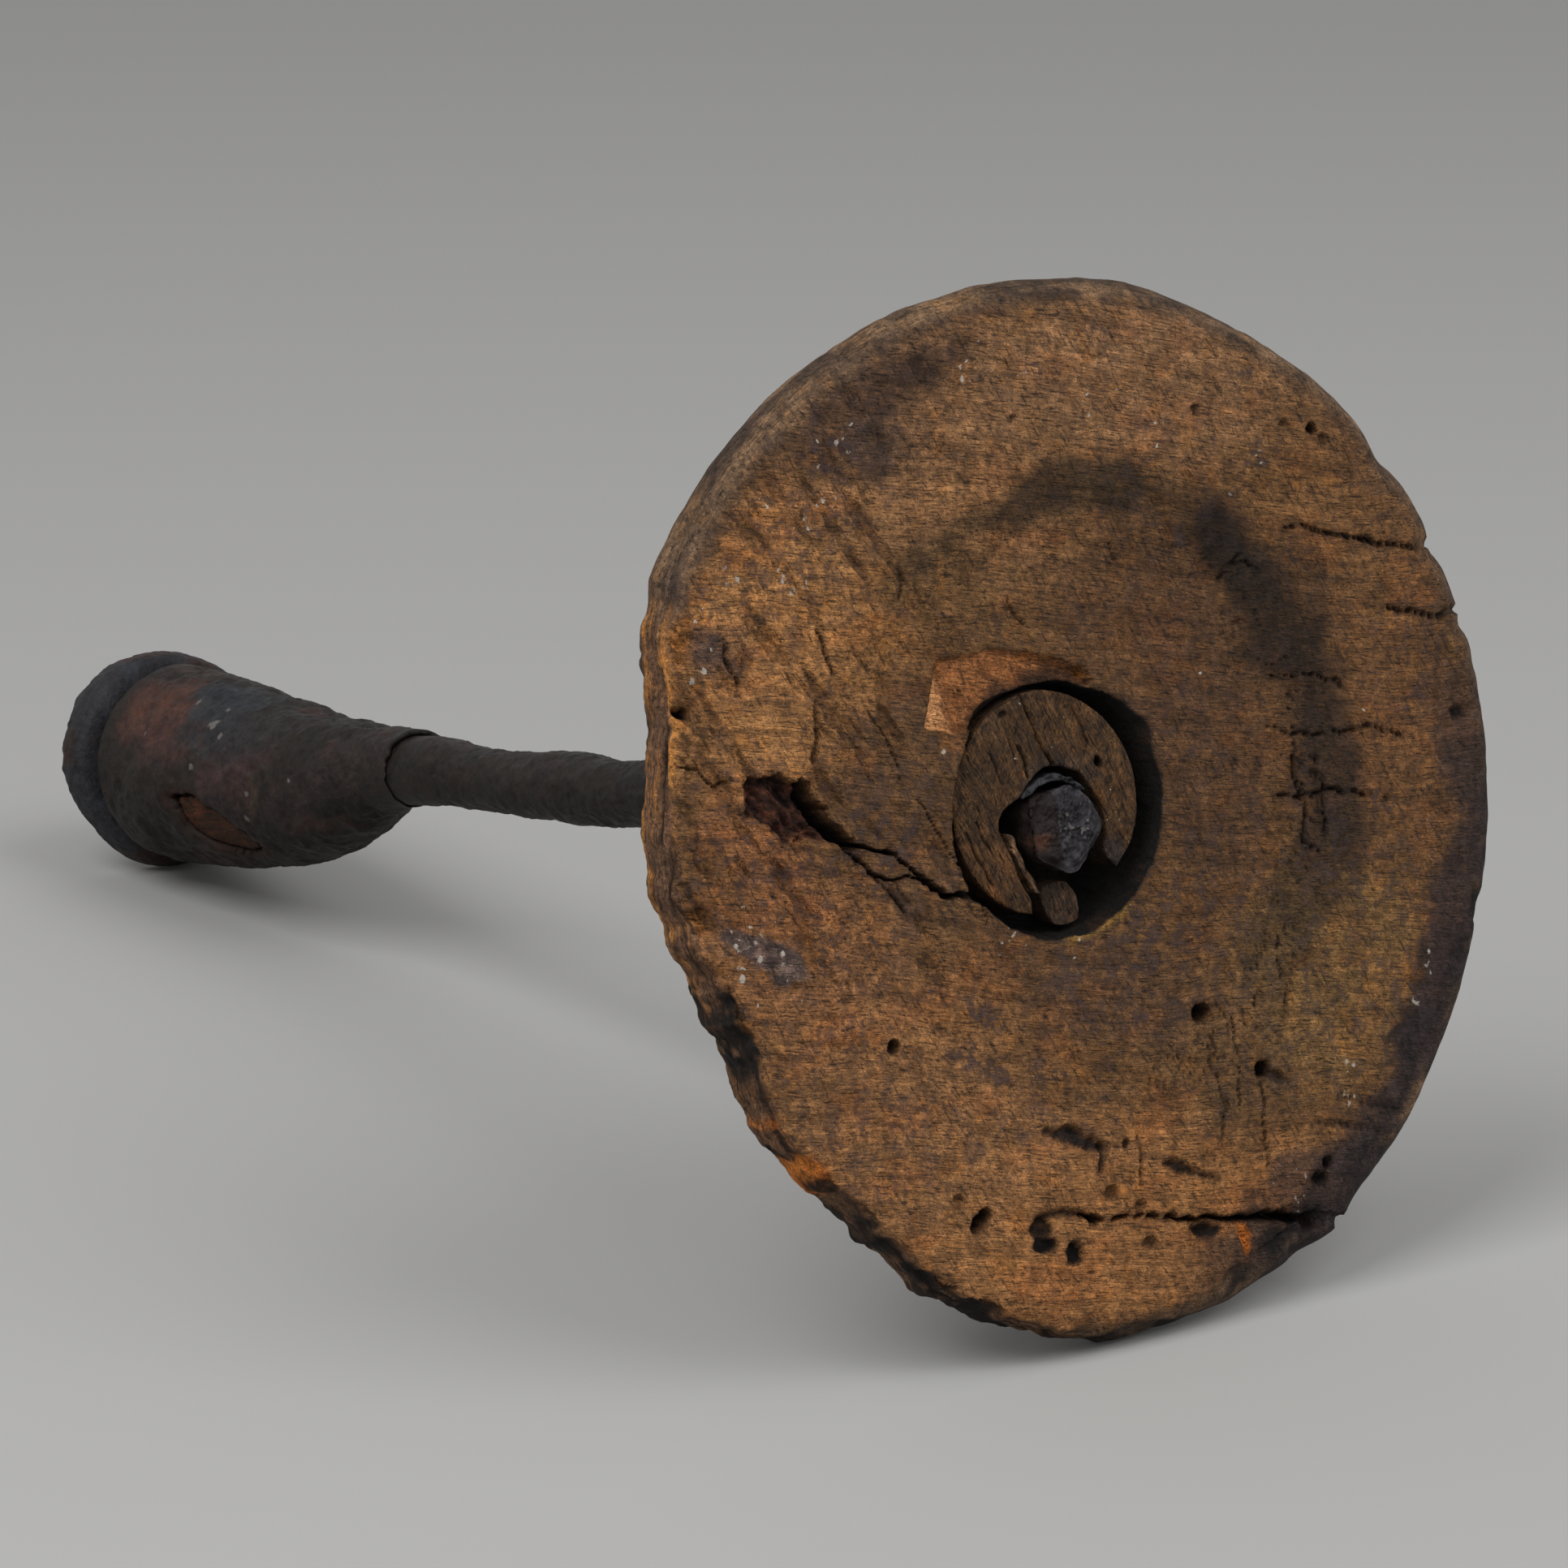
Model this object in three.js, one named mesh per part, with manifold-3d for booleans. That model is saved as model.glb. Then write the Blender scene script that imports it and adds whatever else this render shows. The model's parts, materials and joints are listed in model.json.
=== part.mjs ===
// Drop spindle lying on its side: a worn wooden whorl packed onto an iron rod with a
// split bush, and a flared foot at the other end of the rod. Millimetres, +Z up.
//
// The pieces are modelled in the spindle's own frame, and then leaned over as one group.
// In that frame +X runs along the rod and out of the whorl's face, +Y is across, +Z is up,
// and the origin is where the rod's axis meets the plane of the whorl's face.
import * as THREE from 'three';
import { mergeVertices } from 'three/addons/utils/BufferGeometryUtils.js';
import Module from 'manifold-3d';

const wasm = await Module();
wasm.setup();

// Driving dimensions

const GAP = 0.3;

const WHORL_RADIUS = 50.2;
const WHORL_THICKNESS = 13.2;
const WHORL_WIDEST_DEPTH = 3;
const WHORL_CENTRE = { y: 1.7, z: 0.9 };
const DISH_DEPTH = 1.2;
const DISH_RADIUS = 26;
const FLAT_INNER_RADIUS = 33;
const FLAT_OUTER_RADIUS = 46.5;

const HOLE_RADIUS = 11.9;
const HOLE_CENTRE = { y: 0.05, z: 1.6 };
const HOLE_BACK_RADIUS = 10.9;

const BUSH_RADIUS = 10.5;
const BUSH_CENTRE = { y: -0.9, z: 2.3 };
const BUSH_FRONT_DEPTH = 1.9;
const BUSH_LENGTH = 12.3;
const BUSH_RING_DEPTH = 9.3;

const ROD_RADIUS = 3.5;
const ROD_HEAD_RADIUS = 3.95;
const ROD_TIP_DEPTH = 0.3;
const ROD_LENGTH = 187.6;
const ROD_LUMP_HEIGHT = 0.3;
const ROD_COLLAR_HEIGHT = 0.35;

const FERRULE_INNER_RADIUS = 4.3;
const FERRULE_WALL = 0.7;

const FOOT_START = 122;
const FOOT_WALL = 1.7;
const FOOT_MOUTH_WALL = 0.7;
const FOOT_SHOULDER = 179.5;
const LIP_RADIUS = 12.9;
const LIP_START = 182.3;
const LIP_END = 187.3;
const LIP_CENTRE_HEIGHT = 1;
const CORE_START = 144;

const FLOOR_FLAT_DEPTH = 0.3;

// The spindle leans until the whorl's rim and the foot's lip both touch the floor.
const LEAN = Math.atan2(
  WHORL_RADIUS - WHORL_CENTRE.z - (LIP_RADIUS - LIP_CENTRE_HEIGHT),
  LIP_END - WHORL_WIDEST_DEPTH,
);

// Materials

const wornWood = new THREE.MeshStandardMaterial({
  color: 0x7a4f2b, roughness: 0.75, metalness: 0,
});
const greyWood = new THREE.MeshStandardMaterial({
  color: 0x4f3b2a, roughness: 0.85, metalness: 0,
});
const rawWood = new THREE.MeshStandardMaterial({
  color: 0xa4622c, roughness: 0.8, metalness: 0,
});
const darkIron = new THREE.MeshStandardMaterial({
  color: 0x2b2826, roughness: 0.5, metalness: 0.6,
});
const blueIron = new THREE.MeshStandardMaterial({
  color: 0x41454c, roughness: 0.45, metalness: 0.7,
});

// Solids

function toSolid(geometry) {
  const bare = geometry.clone();
  bare.deleteAttribute('normal');
  bare.deleteAttribute('uv');
  const merged = mergeVertices(bare, 1e-4);
  return new wasm.Manifold(new wasm.Mesh({
    numProp: 3,
    vertProperties: new Float32Array(merged.attributes.position.array),
    triVerts: new Uint32Array(merged.index.array),
  }));
}

function toGeometry(solid) {
  const { vertProperties, triVerts } = solid.getMesh();
  const geometry = new THREE.BufferGeometry();
  geometry.setAttribute('position', new THREE.BufferAttribute(vertProperties, 3));
  geometry.setIndex(new THREE.BufferAttribute(triVerts, 1));
  geometry.computeVertexNormals();
  return geometry;
}

function joined(first, second) {
  return toGeometry(toSolid(first).add(toSolid(second)));
}

function cut(geometry, ...tools) {
  return toGeometry(tools.reduce((left, tool) => left.subtract(toSolid(tool)), toSolid(geometry)));
}

// A lathed solid about the rod's axis, from [depth, radius] pairs that run from the front to
// the back along its outside. Depth counts back from the whorl's face.
function turned(profile, segments) {
  const points = profile.map(([depth, radius]) => new THREE.Vector2(radius, -depth)).reverse();
  const geometry = new THREE.LatheGeometry(points, segments);
  geometry.rotateZ(-Math.PI / 2);
  geometry.deleteAttribute('normal');
  geometry.deleteAttribute('uv');
  return mergeVertices(geometry, 1e-4);
}

// A flat outline in the plane across the rod, carried back from one depth for a length.
function pushedBack(shape, depth, length, curveSegments = 12) {
  const geometry = new THREE.ExtrudeGeometry(shape, {
    depth: length, bevelEnabled: false, curveSegments,
  });
  const across = new THREE.Matrix4().makeBasis(
    new THREE.Vector3(0, 1, 0),
    new THREE.Vector3(0, 0, 1),
    new THREE.Vector3(1, 0, 0),
  );
  geometry.applyMatrix4(across);
  geometry.translate(-depth - length, 0, 0);
  return geometry;
}

function steps(from, to, count) {
  return Array.from({ length: count + 1 }, (_, i) => from + ((to - from) * i) / count);
}

function moveVertices(geometry, move) {
  const positions = geometry.attributes.position;
  const point = new THREE.Vector3();
  for (let i = 0; i < positions.count; i += 1) {
    point.fromBufferAttribute(positions, i);
    move(point);
    positions.setXYZ(i, point.x, point.y, point.z);
  }
  return geometry;
}

// A smooth curve through [depth, value] pairs.
function curveThrough(pairs) {
  const curve = new THREE.SplineCurve(pairs.map(([x, y]) => new THREE.Vector2(x, y)));
  const samples = curve.getPoints(pairs.length * 12);
  return (depth) => {
    const next = samples.findIndex((sample) => sample.x >= depth);
    if (next <= 0) {
      return (next === 0 ? samples[0] : samples[samples.length - 1]).y;
    }
    const [a, b] = [samples[next - 1], samples[next]];
    return a.y + ((b.y - a.y) * (depth - a.x)) / (b.x - a.x);
  };
}

// Heights of the rod's centre and the foot's centre above the straight axis, along the depth.
const rodHeight = curveThrough([[0, 0], [20, 0], [55, 0.4], [95, 0.6], [118, 1.5], [150, 1.2], [190, 1]]);
const footHeight = curveThrough([
  [120, 1.5], [129, 1.2], [135, 0.2], [141, -0.6], [149, -0.9], [158, -0.65],
  [166, -0.1], [174, 0.4], [182, LIP_CENTRE_HEIGHT], [190, LIP_CENTRE_HEIGHT],
]);
const footRadius = curveThrough([
  [120, 4.95], [129, 5.1], [135, 6.2], [141, 7.4], [149, 8.8], [158, 9.85], [166, 10.7],
  [174, 11.3], [180, 11.5],
]);

// The whorl

// The rim is a circle worn back to three nearly straight edges on one side.
const WORN_EDGES = [
  { facing: 178, distance: 44.4 },
  { facing: 205, distance: 43.5 },
  { facing: 242, distance: 46.3 },
];

function rimRadius(angle) {
  const reaches = WORN_EDGES.map(({ facing, distance }) => {
    const slant = Math.cos(angle - THREE.MathUtils.degToRad(facing));
    return slant > 0.5 ? distance / slant : WHORL_RADIUS;
  });
  const worn = Math.min(WHORL_RADIUS, ...reaches);
  const ragged = 0.3 * Math.sin(31 * angle) + 0.4 * Math.sin(17 * angle + 1);
  const share = Math.min(1, (WHORL_RADIUS - worn) / 2);
  return worn + share * ragged;
}

function whorlProfile() {
  const dish = [0, 0.25, 0.5, 0.75, 1].map((t) => {
    const radius = DISH_RADIUS + (FLAT_INNER_RADIUS - DISH_RADIUS) * t;
    return [DISH_DEPTH * 0.5 * (1 + Math.cos(Math.PI * t)), radius];
  });
  const rim = [
    [0, FLAT_OUTER_RADIUS], [0.5, 48.5], [1.5, 49.7], [WHORL_WIDEST_DEPTH, WHORL_RADIUS], [4.6, 49.6],
    [6.6, 47.5], [8.8, 43], [10.8, 36], [12.2, 28], [WHORL_THICKNESS, 20],
  ];
  return [[DISH_DEPTH, 0], [DISH_DEPTH, 14], ...dish, [0, 40], ...rim, [WHORL_THICKNESS, 0]];
}

function wearRim(point) {
  const radius = Math.hypot(point.y, point.z);
  const angle = Math.atan2(point.z, point.y);
  const share = THREE.MathUtils.smoothstep(radius, DISH_RADIUS, FLAT_OUTER_RADIUS);
  const factor = radius > 0 ? 1 - (share * (WHORL_RADIUS - rimRadius(angle))) / radius : 1;
  point.y = point.y * factor + WHORL_CENTRE.y;
  point.z = point.z * factor + WHORL_CENTRE.z;
}

function circle(centre, radius) {
  return new THREE.Shape().absarc(centre.y, centre.z, radius, 0, 2 * Math.PI, false);
}

function outline(points) {
  return new THREE.Shape(points.map(([y, z]) => new THREE.Vector2(y, z)));
}

// The L-shaped flake lost from the face beside the top of the hole.
function chipTool() {
  const chip = outline([
    [-14.8, 12], [-12.6, 17.6], [-9, 18.4], [-4.3, 17.6], [2.2, 15.5], [4.4, 13.6], [1.4, 12.2],
    [-4, 11], [-9, 9],
  ]);
  return pushedBack(chip, -0.5, 0.5 + DISH_DEPTH + 0.9);
}

// The long split that runs from the hole towards the worn edge.
function mainSplitTool() {
  const split = outline([
    [-35.5, 9.6], [-30.5, 9.2], [-26.5, 6], [-22.5, 1], [-15.5, -2.4], [-8.5, -5.4], [-9.1, -6.3],
    [-16.2, -3.4], [-23.4, 0.2], [-29.5, 4.6],
  ]);
  return pushedBack(split, -0.5, 5.5);
}

// The split near the floor that opens at the rim.
function lowSplitTool() {
  const split = outline([
    [-8.5, -36.4], [6.5, -38.4], [14.5, -40], [28, -42.4], [30, -44.6], [25.4, -43.8], [14.3, -40.9],
    [6.4, -38.9],
  ]);
  return pushedBack(split, -0.5, 5);
}

// The hole narrows towards the back, where it fits round the bush.
function holeTool() {
  const cylinder = pushedBack(circle(HOLE_CENTRE, HOLE_RADIUS), -5, WHORL_THICKNESS + 10, 36);
  return moveVertices(cylinder, (point) => {
    const share = -point.x / WHORL_THICKNESS;
    const { lerp } = THREE.MathUtils;
    const scale = lerp(HOLE_RADIUS, HOLE_BACK_RADIUS, share) / HOLE_RADIUS;
    point.y = lerp(HOLE_CENTRE.y, BUSH_CENTRE.y, share) + (point.y - HOLE_CENTRE.y) * scale;
    point.z = lerp(HOLE_CENTRE.z, BUSH_CENTRE.z, share) + (point.z - HOLE_CENTRE.z) * scale;
  });
}

function whorlGeometry() {
  const blank = moveVertices(turned(whorlProfile(), 96), wearRim);
  return cut(blank, holeTool(), chipTool(), mainSplitTool(), lowSplitTool(), floorTool());
}

// The packing in the hole

// A ring open at the bottom, whose inside wraps loosely round the rod, on a closed ring at the
// back that fills the hole.
function bushGeometry() {
  const { y, z } = BUSH_CENTRE;
  const shape = new THREE.Shape();
  shape.absarc(y, z, BUSH_RADIUS, -0.76, Math.PI + 1.2, false);
  shape.quadraticCurveTo(-3.4, -8.4, -3.6, -6.6);
  shape.bezierCurveTo(-5.4, -2.6, -6.6, -0.4, -6.2, 0.8);
  shape.bezierCurveTo(-5.9, 2.8, -4.6, 3.2, -4.1, 3.6);
  shape.bezierCurveTo(-2.4, 6.3, 2.2, 6.5, 4.2, 4.2);
  shape.bezierCurveTo(6.2, 1.8, 5.2, -1, 5.3, -3.4);
  shape.lineTo(5.9, -4.4);
  const open = pushedBack(shape, BUSH_FRONT_DEPTH, BUSH_RING_DEPTH + 0.2 - BUSH_FRONT_DEPTH, 20);
  const ring = circle(BUSH_CENTRE, BUSH_RADIUS - 0.05);
  ring.holes.push(circle({ y: 0, z: 0 }, ROD_HEAD_RADIUS + 0.5));
  const end = BUSH_FRONT_DEPTH + BUSH_LENGTH;
  return joined(open, pushedBack(ring, BUSH_RING_DEPTH, end - BUSH_RING_DEPTH, 32));
}

function wedgeGeometry() {
  const shape = outline([[-1.2, -5.3], [1.4, -5.3], [2.5, -7], [2.4, -8.9], [0.8, -9.3], [-0.2, -9.2], [-1.1, -7.4]]);
  const front = 3.2;
  return moveVertices(pushedBack(shape, front, BUSH_RING_DEPTH - GAP - front), (point) => {
    point.z += point.z < -8 ? 0.15 * (-point.x - front) : 0;
  });
}

function splinterGeometry() {
  const shape = outline([[-5.1, -0.9], [-4.5, -1.2], [-3.5, -3.6], [-2.3, -5.3], [-2.7, -5.8], [-3.8, -4.3]]);
  return pushedBack(shape, 2.6, BUSH_RING_DEPTH - GAP - 2.6);
}

// A strip bent over the top of the rod's end.
function ferruleGeometry() {
  const [start, end] = [0.7, 2.4];
  const shape = new THREE.Shape();
  shape.absarc(0, 0, FERRULE_INNER_RADIUS + FERRULE_WALL, start, end, false);
  shape.absarc(0, 0, FERRULE_INNER_RADIUS, end, start, true);
  return pushedBack(shape, 1.4, BUSH_RING_DEPTH - GAP - 1.4);
}

// The rod

function rodSection(depth) {
  const { smoothstep } = THREE.MathUtils;
  const lumps = Math.sin(depth / 5.1) + 0.7 * Math.sin(depth / 2.9 + 1);
  const clear = smoothstep(depth, 18, 40) * (1 - smoothstep(depth, 100, 120));
  const head = (1 - smoothstep(depth, 14, 30)) * (ROD_HEAD_RADIUS - ROD_RADIUS);
  const collar = smoothstep(depth, 112, 121) * (1 - smoothstep(depth, 127, 136)) * ROD_COLLAR_HEIGHT;
  return ROD_RADIUS + head + collar + clear * ROD_LUMP_HEIGHT * lumps;
}

function rodGeometry() {
  const dome = [[ROD_TIP_DEPTH, 0], [0.5, 1.6], [1, 2.9], [1.7, 3.7]];
  const body = steps(2.6, ROD_LENGTH - 2.5, 73).map((depth) => [depth, rodSection(depth)]);
  const geometry = turned([...dome, ...body, [ROD_LENGTH, ROD_RADIUS], [ROD_LENGTH, 0]], 20);
  return moveVertices(geometry, (point) => {
    point.z += rodHeight(-point.x);
  });
}

// The foot

// The shell's window: a slanting flake lost low on one side, which bares the wood inside.
function flakeTool() {
  const geometry = new THREE.SphereGeometry(1, 20, 12);
  geometry.scale(6.3, 2.9, 2.6);
  geometry.rotateZ(THREE.MathUtils.degToRad(-30));
  geometry.rotateX(THREE.MathUtils.degToRad(-155 - 90));
  const angle = THREE.MathUtils.degToRad(-155);
  geometry.translate(-157, 9.7 * Math.cos(angle), 9.7 * Math.sin(angle) - 0.7);
  return geometry;
}

function shellGeometry() {
  const stations = steps(FOOT_START, FOOT_SHOULDER, 20);
  const wall = (depth) => {
    const share = THREE.MathUtils.smoothstep(depth, FOOT_START + 6, CORE_START);
    return THREE.MathUtils.lerp(FOOT_MOUTH_WALL, FOOT_WALL, share);
  };
  const outside = stations.map((depth) => [depth, footRadius(depth)]);
  const inside = stations.map((depth) => [depth, footRadius(depth) - wall(depth)]).reverse();
  const shoulder = FOOT_SHOULDER + 0.8;
  const end = LIP_START - GAP;
  const neck = [[shoulder, 10.4], [end, 9.9], [end, 8.4], [shoulder, 8.8]];
  const profile = [...outside, ...neck, ...inside, outside[0]];
  const geometry = moveVertices(turned(profile, 40), (point) => {
    point.z += footHeight(-point.x);
  });
  return cut(geometry, flakeTool());
}

function lipGeometry() {
  const bore = 5.2;
  const profile = [
    [LIP_START, bore], [LIP_START, 11.4], [LIP_START + 0.8, 12.5], [LIP_START + 2.4, LIP_RADIUS],
    [LIP_END - 0.6, LIP_RADIUS], [LIP_END, 12.3], [LIP_END, bore], [LIP_START, bore],
  ];
  const geometry = moveVertices(turned(profile, 48), (point) => {
    point.z += LIP_CENTRE_HEIGHT;
  });
  return cut(geometry, floorTool());
}

function coreGeometry() {
  const inside = (depth) => footRadius(depth) - FOOT_WALL - GAP - 0.05;
  const bore = ROD_RADIUS + 0.45;
  const outside = steps(CORE_START + 2, FOOT_SHOULDER - 1, 14).map((depth) => [depth, inside(depth)]);
  const neck = [[FOOT_SHOULDER + 0.6, 8], [LIP_START - GAP, 8]];
  const bored = steps(LIP_START - GAP, CORE_START, 8).map((depth) => [depth, bore]);
  const profile = [[CORE_START, bore], ...outside, ...neck, ...bored];
  return moveVertices(turned(profile, 32), (point) => {
    const radius = Math.hypot(point.y, point.z);
    point.z += radius > bore + 0.1 ? footHeight(-point.x) : rodHeight(-point.x);
  });
}

// The floor, cut a little way into the rim and the lip so that both have a worn flat.
function floorTool() {
  const lowest = -(WHORL_RADIUS - WHORL_CENTRE.z) * Math.cos(LEAN) - WHORL_WIDEST_DEPTH * Math.sin(LEAN);
  const size = 400;
  const geometry = new THREE.BoxGeometry(size, size, size);
  geometry.translate(0, 0, lowest + FLOOR_FLAT_DEPTH - size / 2);
  geometry.rotateY(LEAN);
  return geometry;
}

// The assembly

const pieces = [
  ['whorl_disc', whorlGeometry(), wornWood],
  ['split_bush', bushGeometry(), greyWood],
  ['bush_wedge', wedgeGeometry(), greyWood],
  ['bush_splinter', splinterGeometry(), greyWood],
  ['shaft_rod', rodGeometry(), darkIron],
  ['ferrule_strip', ferruleGeometry(), blueIron],
  ['foot_shell', shellGeometry(), darkIron],
  ['foot_lip', lipGeometry(), blueIron],
  ['foot_core', coreGeometry(), rawWood],
];

const spindle = new THREE.Group();
pieces.forEach(([name, geometry, material]) => {
  const mesh = new THREE.Mesh(geometry, material);
  mesh.name = name;
  spindle.add(mesh);
});
spindle.rotation.y = -LEAN;

// The origin is on the floor, under the middle of the leaned spindle.
const group = new THREE.Group();
group.add(spindle);
group.updateMatrixWorld(true);
const extent = new THREE.Box3().setFromObject(group, true);
const middle = extent.getCenter(new THREE.Vector3());
spindle.position.set(-middle.x, -middle.y, -extent.min.z);

export default group;
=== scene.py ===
import itertools
import json
import math

import bpy
import numpy as np
from mathutils import Matrix, Vector


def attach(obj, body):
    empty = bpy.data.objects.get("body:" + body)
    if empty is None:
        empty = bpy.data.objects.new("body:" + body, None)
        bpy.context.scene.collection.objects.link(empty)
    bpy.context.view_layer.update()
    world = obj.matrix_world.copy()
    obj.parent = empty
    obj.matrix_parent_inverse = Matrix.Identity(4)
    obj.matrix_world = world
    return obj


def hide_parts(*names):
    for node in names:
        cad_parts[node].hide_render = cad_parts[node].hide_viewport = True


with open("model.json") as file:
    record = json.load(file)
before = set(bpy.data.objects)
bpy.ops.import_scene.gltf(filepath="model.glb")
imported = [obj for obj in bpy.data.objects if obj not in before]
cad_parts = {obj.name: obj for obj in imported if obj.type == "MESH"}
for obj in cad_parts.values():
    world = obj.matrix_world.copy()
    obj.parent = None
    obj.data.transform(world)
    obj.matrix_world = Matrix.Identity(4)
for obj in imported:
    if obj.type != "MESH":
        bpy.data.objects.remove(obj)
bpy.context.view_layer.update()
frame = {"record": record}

MM = 0.001

# Where the whorl_face mount lies in the spindle's own frame.
FACE_MOUNT_AT = np.array([0, 1.7, 40.9])
FACE_MOUNT = next(m for m in frame["record"]["mounts"] if m["name"] == "whorl_face")
ALONG = np.array(FACE_MOUNT["axis"]) / np.linalg.norm(FACE_MOUNT["axis"])
ACROSS = np.array([0.0, 1.0, 0.0])
UPRIGHT = np.cross(ALONG, ACROSS)
BASIS = np.stack([ALONG, ACROSS, UPRIGHT])
ORIGIN = np.array(FACE_MOUNT["pos_m"]) - FACE_MOUNT_AT @ BASIS * MM


def to_frame(points):
    """Points of the spindle's own frame, in millimetres, as metres in the row frame."""
    return ORIGIN + np.asarray(points) @ BASIS * MM


# ---------------------------------------------------------------- numbers


def clamp(x):
    return np.clip(x, 0.0, 1.0)


def smooth(low, high, x):
    t = clamp((x - low) / (high - low))
    return t * t * (3 - 2 * t)


def hashed(cell, seed):
    h = cell[..., 0] * 374761393 + cell[..., 1] * 668265263 + cell[..., 2] * 1274126177
    h = (h + seed * 144664841) & 0xFFFFFFFF
    h = ((h ^ (h >> 13)) * 1274126177) & 0xFFFFFFFF
    h = h ^ (h >> 16)
    return (h & 0xFFFFFF) / 0xFFFFFF


def noise(points, size, seed):
    """Smooth noise from -1 to 1, with lumps about size across (one size, or one per axis)."""
    p = np.asarray(points, float) / np.asarray(size, float)
    base = np.floor(p).astype(np.int64)
    t = p - base
    t = t * t * t * (t * (t * 6 - 15) + 10)
    total = 0.0
    for corner in itertools.product((0, 1), repeat=3):
        weight = np.prod(np.where(np.array(corner) == 1, t, 1 - t), axis=-1)
        total = total + weight * hashed(base + np.array(corner), seed)
    return total * 2 - 1


def rough(points, size, octaves, seed, keep=0.55):
    """Noise with finer noise on it, roughly from -1 to 1. Each octave is a share to keep of
    the one before."""
    size = np.asarray(size, float)
    total, scale, reach = 0.0, 1.0, 0.0
    for octave in range(octaves):
        total = total + scale * noise(points, size / 2.03**octave, seed + 17 * octave)
        reach += scale
        scale *= keep
    return total / reach * 1.6


def through(points, count):
    """count points on a smooth curve through some points of any dimension."""
    p = np.asarray(points, float)
    p = np.vstack([2 * p[0] - p[1], p, 2 * p[-1] - p[-2]])
    t = np.linspace(0, len(p) - 3, count)
    i = np.minimum(t.astype(int), len(p) - 4)
    f = (t - i)[:, None]
    a, b, c, d = p[i], p[i + 1], p[i + 2], p[i + 3]
    square, cube = 2 * a - 5 * b + 4 * c - d, 3 * b - a - 3 * c + d
    return 0.5 * (2 * b + (c - a) * f + square * f**2 + cube * f**3)


def linear(red, green, blue):
    """A colour given as the eye sees it, from 0 to 255, in the renderer's linear numbers."""
    c = np.array([red, green, blue]) / 255
    return np.where(c <= 0.04045, c / 12.92, ((c + 0.055) / 1.055) ** 2.4)


def mixed(a, b, share):
    return a + (b - a) * np.asarray(share)[..., None]


def coated(paint, *coats):
    """Paint with coats laid on it in turn, each a (colour, share) pair."""
    for colour, share in coats:
        paint = mixed(paint, colour, share)
    return paint


def varied(colour, change):
    """A colour made lighter or darker by a share that differs from point to point."""
    return colour * (1 + change)[..., None]


def flat(u, v, layer=0.0):
    return np.stack([u, v, np.full_like(u, layer)], -1)


def full_turn(count):
    """Angles spread evenly round a circle."""
    return np.linspace(0, 2 * np.pi, count, endpoint=False)


def ways_at(angle):
    """The direction of each angle, as (y, z)."""
    return np.stack([np.cos(angle), np.sin(angle)], -1)


def angle_from(angle, degrees):
    """How far each angle is from one given in degrees, the short way round, in radians."""
    return np.angle(np.exp(1j * (angle - math.radians(degrees))))


def dented(angle, dents):
    """The depth at each angle of dents, each a middle and a width in degrees and a depth."""
    return sum(depth * np.exp(-(angle_from(angle, at) / math.radians(width)) ** 2)
               for at, width, depth in dents)


# ---------------------------------------------------------------- meshes


def grid_faces(rows, columns, wrap_rows):
    j = np.arange(rows if wrap_rows else rows - 1)[:, None]
    i = np.arange(columns)[None, :]
    k = (i + 1) % columns
    m = (j + 1) % rows
    quads = np.stack([j * columns + i, j * columns + k, m * columns + k, m * columns + i], -1)
    return quads.reshape(-1, 4)


def normals_of(grid, wrap_rows):
    """Unit normals of a grid of points, rows by columns, that wraps along its columns."""
    down = np.roll(grid, -1, 0) - np.roll(grid, 1, 0)
    if not wrap_rows:
        down[0], down[-1] = grid[1] - grid[0], grid[-1] - grid[-2]
    along = np.roll(grid, -1, 1) - np.roll(grid, 1, 1)
    n = np.cross(along, down)
    return n / np.maximum(np.linalg.norm(n, axis=-1, keepdims=True), 1e-9)


def outward(grid, wrap_rows):
    """The grid's normals, turned so that they point out of the solid."""
    n = normals_of(grid, wrap_rows)
    middle = grid - grid.mean((0, 1))
    flux = np.sum(n * middle * np.linalg.norm(
        np.roll(grid, -1, 1) - grid, axis=-1, keepdims=True))
    return n if flux > 0 else -n


def build(name, grid, body, node, material, paint, grain, wear, wrap_rows=False,
          rim_grain=None):
    """A closed piece from a grid of points. Without wrap_rows both ends close on one point."""
    rows, columns = grid.shape[:2]
    points = grid.reshape(-1, 3)
    quads = grid_faces(rows, columns, wrap_rows)
    triangles = np.zeros((0, 3), int)
    if not wrap_rows:
        ring = np.arange(columns)
        nxt = (ring + 1) % columns
        low = (rows - 1) * columns
        first, last = len(points), len(points) + 1
        points = np.vstack([points, grid[0].mean(0), grid[-1].mean(0)])
        triangles = np.vstack([
            np.stack([nxt, ring, np.full(columns, first)], -1),
            np.stack([low + ring, low + nxt, np.full(columns, last)], -1),
        ])
    if signed_volume(points, quads, triangles) < 0:
        quads, triangles = quads[:, ::-1], triangles[:, ::-1]

    def per_point(values):
        values = values.reshape(rows * columns, -1)
        if wrap_rows:
            return values
        return np.vstack([values, values[:columns].mean(0), values[-columns:].mean(0)])

    vectors = {"paint": per_point(paint), "grain": per_point(grain)}
    if rim_grain is not None:
        vectors["rim_grain"] = per_point(rim_grain)
    masks = {key: per_point(values).ravel() for key, values in wear.items()}
    return mesh_piece(name, points, quads, triangles, body, node, material, vectors, masks)


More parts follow.
